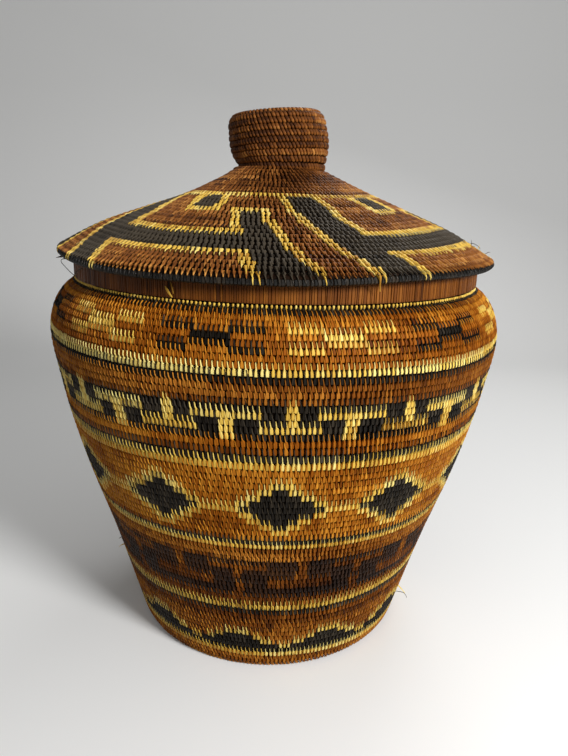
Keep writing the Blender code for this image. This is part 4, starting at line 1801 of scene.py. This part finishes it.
@dataclass
class Knob:
    """The coiled knob: a low crown, a barrel and a narrow neck, leaning a little to one side."""

    palette: Palette
    spacing: float = 0.0038
    slant: float = 0.24
    rounds: tuple[tuple[str, int], ...] = (("knob_crown", 7), ("knob_barrel", 6), ("knob_neck", 3))

    STITCH_SIZES = {"Start": -0.54, "Length": 1.12, "Half_Width": 0.49, "Rise": 0.0009, "Depth": 0.0013,
                    "Lean": 0.22}
    DULL = 0.26                      # how much darker its splints are than the lid's
    PALER, BARE_FROM = 0.10, 15.0    # painted light: how much paler its right side is, where the light falls, and the bearing that it starts at

    def build(self) -> None:
        """Lay the knob's rounds from the middle of its crown down to its foot."""
        outline = Outline(KNOB_OUTLINE)
        ends = (*map(outline.distance_at_height, (KNOB_SHOULDER, KNOB_NECK_TOP)), outline.length)
        coiler = Coiler(outline, 37, tails_up=False)
        start, index = 0.0, 0
        for number, ((node, rounds), end) in enumerate(zip(self.rounds, ends)):
            pitch = (end - start) / rounds
            rows = []
            for step in range(rounds):
                distance = start + (step + 0.5) * pitch
                radius = float(outline.point(distance)[0])
                count = max(7, round(math.tau * radius / self.spacing))
                rows.append(coiler.lay(Round(index, distance, pitch, count, -self.slant)))
                # The right side is painted paler and the left darker: painted light from the right.
                rows[-1][0].tone += self.PALER * np.sin(np.radians(rows[-1][1] - self.BARE_FROM)) - self.DULL
                index += 1
            cloud = Cloud.joined([row[0] for row in rows]).moved(askew)
            core = self.core(node, outline, start, end, rounds)
            settle(core, LID, (node,))
            lay_by_dye(self.palette, KNOB_STITCH, node, cloud, all_brown(cloud), LID, 400 + number, self.slant,
                       **self.STITCH_SIZES)
            start = end

    def core(self, node: str, outline: Outline, start: float, end: float, rounds: int) -> Piece:
        """The solid rods of one part of the knob, ribbed on the outside.

        Args:
            node: the name of its node.
            outline: the knob's outline.
            start: where the part starts along the outline.
            end: where it ends.
            rounds: how many rounds it has.

        Returns:
            The rods, at the origin.
        """
        steps, groove = grooves(rounds)
        outside = outline.inside(start + steps * (end - start) / rounds, GROOVE - ROD_RISE * (1.0 - groove))
        outside = outside[outside[:, 0] > 0.001]
        section = np.vstack([[(0.0, outside[0, 1])], outside, [(0.0, outside[-1, 1])]])
        return turned(node + "_rods", section, (self.palette.core,), turns=64, moved=askew)


@dataclass
class NeckHoop:
    """The upright hoop on the mouth: thin splints side by side round a core."""

    palette: Palette
    radius: float = 0.2156
    foot: float = 0.3955
    thickness: float = 0.0056

    SPLINT_SIZES = {"Half_Width": 0.60, "Start": 0.0, "Length": 1.0, "Thickness": 0.0008, "Rise": 0.0,
                    "Depth": 0.0, "Lean": 0.0, "Lean_Spread": 0.012, "Size_Spread": 0.0}
    WIDTHS = (0.0011, 0.0034)        # narrowest and widest splint
    CRACKED = 0.14                   # share of the splints that are split
    LEFT_OF_CRACKED = (0.50, 0.80)   # share of its width that such a splint still has
    CORE_INSET = 0.0012              # how far inside the splints the core starts

    def build(self) -> None:
        """Stand the splints round the hoop."""
        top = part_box("neck_hoop")[1][2]
        random = np.random.default_rng(41)
        widths = random.uniform(*self.WIDTHS, 1200)
        total = math.tau * self.radius
        widths = widths[:int(np.searchsorted(np.cumsum(widths), total))]
        widths *= total / widths.sum()
        bearing = (np.cumsum(widths) - widths / 2) / self.radius
        count = len(bearing)
        reach = self.radius - 0.0011 + random.uniform(-0.0003, 0.0002, count)
        place = around(reach, bearing, self.foot)
        out = around(1.0, bearing, 0.0)
        up = np.tile((0.0, 0.0, 1.0), (count, 1))
        cracked = np.where(random.uniform(0.0, 1.0, count) < self.CRACKED,
                           random.uniform(*self.LEFT_OF_CRACKED, count), 1.0)
        size = np.stack([widths * cracked, np.full(count, top - self.foot), np.ones(count)], axis=-1)
        zones = 0.10 * np.sin(3 * bearing + 0.4) + 0.07 * np.sin(17 * bearing + 1.0)
        cloud = Cloud(place, out, up, size, np.clip(random.normal(0.5, 0.10, count) + zones, 0.02, 0.98))
        piece = lay_strands("neck_hoop_splints", cloud, UPRIGHT_SPLINT, self.palette.neck, **self.SPLINT_SIZES,
                            Seed=41)
        settle(piece, BODY)
        edge = self.radius - self.CORE_INSET
        hoop = Outline(((edge, top - 0.0004), (edge, self.foot)))
        rods = ribbed_ring("neck_hoop_core", hoop, 0.0, hoop.length, 1, 0, 330,
                           (self.palette.core, self.palette.neck_back), wall=self.thickness - self.CORE_INSET)
        settle(rods, BODY, ("neck_hoop",))


@dataclass
class Base:
    """The flat base, coiled out from its middle, whose last round turns up to meet the wall."""

    palette: Palette
    outline: tuple[tuple[float, float], ...] = (
        (0.1541, 0.0067), (0.1535, 0.0041), (0.1513, 0.0023), (0.1475, 0.0018), (0.1420, 0.0018),
        (0.1330, 0.0018), (0.1160, 0.0018), (0.0850, 0.0018), (0.0500, 0.0018), (0.0250, 0.0018),
        (0.0010, 0.0018),
    )
    start_radius: float = 0.0120
    pitch: float = 0.0064
    spacing: float = 0.0043
    wall: float = 0.0050
    start_section: tuple[tuple[float, float], ...] = (
        (0.0, 0.0078), (0.0060, 0.0078), (0.0105, 0.0068), (0.0117, 0.0050), (0.0117, 0.0034), (0.0, 0.0034))

    def build(self) -> None:
        """Lay the rounds from the edge to the middle."""
        outline = Outline(self.outline)
        reach = float(np.interp(-self.start_radius, -outline.samples[:, 0], outline.lengths))
        rounds = round(reach / self.pitch)
        pitch = reach / rounds
        coiler = Coiler(outline, 53, tails_up=False)
        laid = [coiler.lay(self.round(outline, index, pitch)) for index in range(rounds)]
        laid[0][0].size[:, 1] *= 0.5
        cloud = Cloud.joined([row[0] for row in laid])
        brown = self.palette.back[Dye.BROWN]
        rods = ribbed_ring("base_rods", outline, 0.0, reach, rounds, 0, 300, (self.palette.core, brown),
                           wall=self.wall)
        settle(rods, BODY, ("base_rounds",))
        lay_by_dye(self.palette, WALL_STITCH, "base", cloud, all_brown(cloud), BODY, 500, Rise=0.0001)
        middle = [coiler.lay(self.round(outline, index, pitch)) for index in (rounds, rounds + 1)]
        cloud = Cloud.joined([row[0] for row in middle])
        section = np.array(self.start_section)
        levels = np.linspace(0.0, 2.0, len(section))
        start = turned("base_start_coil_rods", section, (brown,), levels, None, 14.0, 32)
        settle(start, BODY, ("base_start_coil",))
        lay_by_dye(self.palette, WALL_STITCH, "base_start_coil", cloud, all_brown(cloud), BODY, 510,
                   Length=1.4, Rise=0.0001)

    def round(self, outline: Outline, index: int, pitch: float) -> Round:
        """Set out one round of the base.

        Args:
            outline: the base's outline.
            index: the round's number, from the edge in.
            pitch: how far apart the rounds are.

        Returns:
            The round.
        """
        distance = (index + 0.5) * pitch
        radius = float(outline.point(distance)[0])
        return Round(index, distance, pitch, max(6, round(math.tau * radius / self.spacing)))


@dataclass(frozen=True)
class LooseEnd:
    """The end of a splint or a thread that has worked loose, drawn through a few places in the air."""

    name: str
    body: str
    dye: Dye
    places: tuple[tuple[float, float, float], ...]
    width: float
    thickness: float
    taper: tuple[float, ...] = (1.0, 0.9, 0.3)
    tone: float = 0.5

    STEPS = 6
    CORNERS = 6

    def build(self, palette: Palette) -> None:
        """Sweep a flat oval section along a smooth curve through the places and close both ends.

        Args:
            palette: the materials.
        """
        line = smooth(self.places, self.STEPS)
        count = len(line)
        ahead = np.gradient(line, axis=0)
        ahead /= np.linalg.norm(ahead, axis=1)[:, None]
        outward = line * (1.0, 1.0, 0.0)
        across = np.cross(ahead, outward / np.linalg.norm(outward, axis=1)[:, None])
        across /= np.linalg.norm(across, axis=1)[:, None]
        up = np.cross(across, ahead)
        along = np.linspace(0.0, 1.0, count)
        size = np.interp(along, np.linspace(0.0, 1.0, len(self.taper)), self.taper)
        angle = np.arange(self.CORNERS) * math.tau / self.CORNERS
        ring = (across[:, None] * np.cos(angle)[:, None] * self.width
                + up[:, None] * np.sin(angle)[:, None] * self.thickness) * size[:, None, None] / 2
        points = (line[:, None] + ring).reshape(-1, 3)
        spots, corners = [grid.ravel() for grid in np.meshgrid(np.arange(count - 1), np.arange(self.CORNERS),
                                                               indexing="ij")]
        here, after = spots * self.CORNERS, (corners + 1) % self.CORNERS
        faces = np.stack([here + corners, here + after, here + self.CORNERS + after,
                          here + self.CORNERS + corners], axis=-1).tolist()
        last = (count - 1) * self.CORNERS
        faces += [list(range(self.CORNERS))[::-1], list(range(last, last + self.CORNERS))]
        mesh = surface(self.name, points, faces, (palette.splint[self.dye],))
        marks = np.stack([np.tile(np.cos(angle), count), np.repeat(0.12 + 0.6 * along, self.CORNERS),
                          np.tile(np.sin(angle), count)], axis=-1)
        mark(mesh, "strand", marks)
        mark(mesh, "tone", np.full(len(points), self.tone))
        mesh.update()
        settle(shown(self.name, mesh), self.body)


LOOSE_ENDS = (
    LooseEnd("loose_leaf_under_brim", LID, Dye.DUSK,
             ((-0.2035, -0.0860, 0.4196), (-0.2081, -0.0868, 0.4157), (-0.2115, -0.0870, 0.4152),
              (-0.2150, -0.0872, 0.4142)), 0.0016, 0.0006, (1.0, 0.9, 1.0, 0.3)),
    LooseEnd("thread_loop_at_hoop", BODY, Dye.BLACK,
             ((-0.2040, -0.0872, 0.4136), (-0.2087, -0.0875, 0.4131), (-0.2099, -0.0881, 0.4112),
              (-0.2085, -0.0887, 0.4088), (-0.2048, -0.0898, 0.4052), (-0.2003, -0.0910, 0.4010),
              (-0.1958, -0.0925, 0.3978), (-0.1932, -0.0975, 0.3982), (-0.1920, -0.1010, 0.4012),
              (-0.1862, -0.1115, 0.4055), (-0.1788, -0.1226, 0.4089)), 0.0009, 0.0006, (1.0, 1.0, 0.7)),
    LooseEnd("straw_strand_over_rim", BODY, Dye.CREAM,
             ((-0.1925, -0.1000, 0.4000), (-0.1935, -0.0975, 0.3980), (-0.1928, -0.0955, 0.3945),
              (-0.1880, -0.1040, 0.3938), (-0.1812, -0.1143, 0.3940)), 0.0014, 0.0006, (0.5, 1.0, 0.5), 0.35),
    LooseEnd("straw_strand_along_rim", BODY, Dye.CREAM,
             ((-0.1765, -0.1215, 0.3932), (-0.1718, -0.1285, 0.3948), (-0.1660, -0.1355, 0.3946),
              (-0.1590, -0.1440, 0.3942)), 0.0012, 0.0006, (0.5, 1.0, 0.4), 0.30),
    LooseEnd("spike_on_lid", LID, Dye.DUSK,
             ((0.2022, -0.0425, 0.4325), (0.2024, -0.0422, 0.4365), (0.2022, -0.0410, 0.4409)),
             0.0010, 0.0008),
    LooseEnd("thread_on_lid", LID, Dye.BLACK,
             ((0.1995, -0.0415, 0.4352), (0.2025, -0.0418, 0.4372), (0.2055, -0.0422, 0.4368),
              (0.2100, -0.0429, 0.4343), (0.2118, -0.0431, 0.4318)), 0.0007, 0.0006, (1.0, 1.0, 0.8)),
    LooseEnd("pale_chip_on_lid", LID, Dye.CREAM,
             ((0.2088, -0.0440, 0.4302), (0.2096, -0.0436, 0.4325), (0.2106, -0.0428, 0.4346),
              (0.2109, -0.0424, 0.4364)), 0.0010, 0.0006),
    LooseEnd("hair_at_brim", LID, Dye.DUSK,
             ((0.2150, -0.0453, 0.4260), (0.2192, -0.0452, 0.4284), (0.2208, -0.0450, 0.4289),
              (0.2222, -0.0450, 0.4291)), 0.0008, 0.0006),
    LooseEnd("tan_splint_over_brim", LID, Dye.CREAM,
             ((0.0829, -0.2092, 0.4229), (0.0853, -0.2150, 0.4206), (0.0857, -0.2150, 0.4171),
              (0.0862, -0.2110, 0.4128), (0.0872, -0.2060, 0.4088), (0.0876, -0.2040, 0.4062)),
             0.0019, 0.0006, (0.8, 1.0, 0.9, 0.4), 0.12),
    LooseEnd("cream_splint_over_brim", LID, Dye.CREAM,
             ((0.0864, -0.2080, 0.4229), (0.0892, -0.2136, 0.4208), (0.0907, -0.2131, 0.4178),
              (0.0909, -0.2120, 0.4146)), 0.0012, 0.0005, (0.8, 1.0, 0.4), 0.45),
    LooseEnd("cream_tail_at_foot", BODY, Dye.CREAM,
             ((0.1448, -0.0612, 0.0480), (0.1495, -0.0615, 0.0466), (0.1530, -0.0622, 0.0434),
              (0.1570, -0.0632, 0.0395), (0.1598, -0.0641, 0.0366), (0.1618, -0.0648, 0.0342)),
             0.0026, 0.0008, (1.0, 0.95, 0.75, 0.35), 0.6),
    LooseEnd("dark_thread_at_foot", BODY, Dye.BLACK,
             ((0.1500, -0.0618, 0.0350), (0.1560, -0.0634, 0.0352), (0.1606, -0.0645, 0.0345),
              (0.1633, -0.0656, 0.0311), (0.1641, -0.0663, 0.0289)), 0.0007, 0.0006, (1.0, 1.0, 0.6)),
    LooseEnd("pale_spike_on_taper", BODY, Dye.CREAM,
             ((-0.1610, -0.0725, 0.0940), (-0.1648, -0.0727, 0.0926), (-0.1672, -0.0730, 0.0916),
              (-0.1699, -0.0735, 0.0897)), 0.0014, 0.0007, (1.0, 0.9, 0.4), 0.4),
    LooseEnd("grey_spike_on_taper", BODY, Dye.BLACK,
             ((-0.1630, -0.0748, 0.1042), (-0.1664, -0.0752, 0.1029), (-0.1691, -0.0756, 0.1012)),
             0.0012, 0.0007, (1.0, 0.9, 0.4), 0.9),
    LooseEnd("leaf_on_hoop", BODY, Dye.CREAM,
             ((-0.0878, -0.1976, 0.4050), (-0.0860, -0.1998, 0.4030), (-0.0838, -0.2015, 0.3998),
              (-0.0812, -0.2012, 0.3962)), 0.0026, 0.0006, (0.3, 1.0, 0.9, 0.5), 0.25),
    LooseEnd("second_leaf_on_hoop", BODY, Dye.CREAM,
             ((-0.0828, -0.1992, 0.4092), (-0.0816, -0.2012, 0.4060), (-0.0808, -0.2018, 0.4030),
              (-0.0803, -0.2005, 0.3990)), 0.0016, 0.0006, (0.3, 1.0, 0.5), 0.10),
    # A black strip that paints the shadow inside a crack in the hoop.
    LooseEnd("crack_on_hoop", BODY, Dye.BLACK,
             ((-0.0845, -0.1990, 0.4100), (-0.0841, -0.1996, 0.4060), (-0.0836, -0.1999, 0.4020),
              (-0.0829, -0.1998, 0.3985)), 0.0013, 0.0005, (0.5, 1.0, 0.6)),
)


class Studio:
    """A plain pale floor and backdrop, soft lamps, and the camera where the photographer stood."""

    CAMERA = (0.01208, -0.7215, 0.4773)
    PITCH, ROLL = math.radians(15.725), math.radians(1.726)
    LENS, SENSOR = 30.48, 36.0
    LAMPS = (        # name, place, what it is aimed at, size and power
        ("key_light", (1.05, -1.28, 1.00), (0.0, 0.0, 0.25), 0.45, 37.0),
        ("fill_light", (-1.4, -1.3, 0.9), (0.0, 0.0, 0.25), 1.6, 1.8),
        ("back_light", (0.5, 1.2, 1.5), (0.0, 0.0, 0.35), 0.9, 9.0),
    )
    SURROUNDINGS = 0.32
    SEEN = (0.88, 0.88, 0.87, 1.0)           # the paper's own colour
    BOUNCED = (0.24, 0.24, 0.23, 1.0)        # its colour in the light that it sheds
    FRONT, BACK, BEND, HALF_WIDTH, TOP = -4.0, 1.2, 0.9, 5.0, 4.5

    def build(self) -> None:
        """Set up the stage."""
        self.sweep()
        for lamp in self.LAMPS:
            self.lamp(*lamp)
        self.world()
        self.camera()
        bpy.context.scene.view_settings.view_transform = 'Standard'

    def sweep(self) -> None:
        """The floor that curves up into the backdrop."""
        profile = [(self.FRONT, 0.0), (self.BACK, 0.0)]
        for step in range(1, 13):
            turn = math.radians(step * 7.5)
            profile.append((self.BACK + self.BEND * math.sin(turn), self.BEND - self.BEND * math.cos(turn)))
        profile.append((self.BACK + self.BEND, self.TOP))
        points = np.array([(x, y, z) for x in (-self.HALF_WIDTH, self.HALF_WIDTH) for y, z in profile])
        count = len(profile)
        faces = [(spot, spot + count, spot + count + 1, spot + 1) for spot in range(count - 1)]
        material, graph = blank("pale_paper")
        path = graph.node("ShaderNodeLightPath").outputs
        seen = graph.math('MAXIMUM', path["Is Camera Ray"], path["Is Glossy Ray"])
        seen = graph.math('MAXIMUM', seen, path["Is Transmission Ray"])
        graph.shade(Base_Color=graph.mix(seen, self.BOUNCED, self.SEEN), Roughness=0.9)
        shown("studio_sweep", surface("studio_sweep", points, faces, (material,)))

    def lamp(self, name: str, place: Sequence[float], target: Sequence[float], size: float,
             power: float) -> None:
        """Hang one soft square lamp.

        Args:
            name: its name.
            place: where it hangs.
            target: the point that it is aimed at.
            size: the length of its side.
            power: its watts.
        """
        light = bpy.data.lights.new(name, 'AREA')
        light.energy = power
        light.size = size
        lamp = bpy.data.objects.new(name, light)
        lamp.location = place
        lamp.rotation_euler = (Vector(target) - Vector(place)).to_track_quat('-Z', 'Y').to_euler()
        bpy.context.scene.collection.objects.link(lamp)

    def world(self) -> None:
        """Even white surroundings."""
        world = bpy.data.worlds.new("white_surroundings")
        world.use_nodes = True
        background = world.node_tree.nodes["Background"]
        background.inputs["Color"].default_value = (1.0, 1.0, 1.0, 1.0)
        background.inputs["Strength"].default_value = self.SURROUNDINGS
        bpy.context.scene.world = world

    def camera(self) -> None:
        """The camera of the photograph."""
        data = bpy.data.cameras.new("photo_camera")
        data.sensor_fit = 'AUTO'
        data.sensor_width = self.SENSOR
        data.lens = self.LENS
        camera = bpy.data.objects.new("photo_camera", data)
        tilt = Matrix.Rotation(math.pi / 2 - self.PITCH, 4, 'X') @ Matrix.Rotation(self.ROLL, 4, 'Z')
        camera.matrix_world = Matrix.Translation(self.CAMERA) @ tilt
        bpy.context.scene.collection.objects.link(camera)
        bpy.context.scene.camera = camera


def main() -> None:
    """Build the basket round the CAD frame."""
    logging.basicConfig(level=logging.INFO, format="%(name)s: %(message)s")
    Studio().build()
    palette = Palette()
    for made in (BasketWall, Lid, Knob, NeckHoop, Base):
        made(palette).build()
    for end in LOOSE_ENDS:
        end.build(palette)


if __name__ == "__main__":
    main()
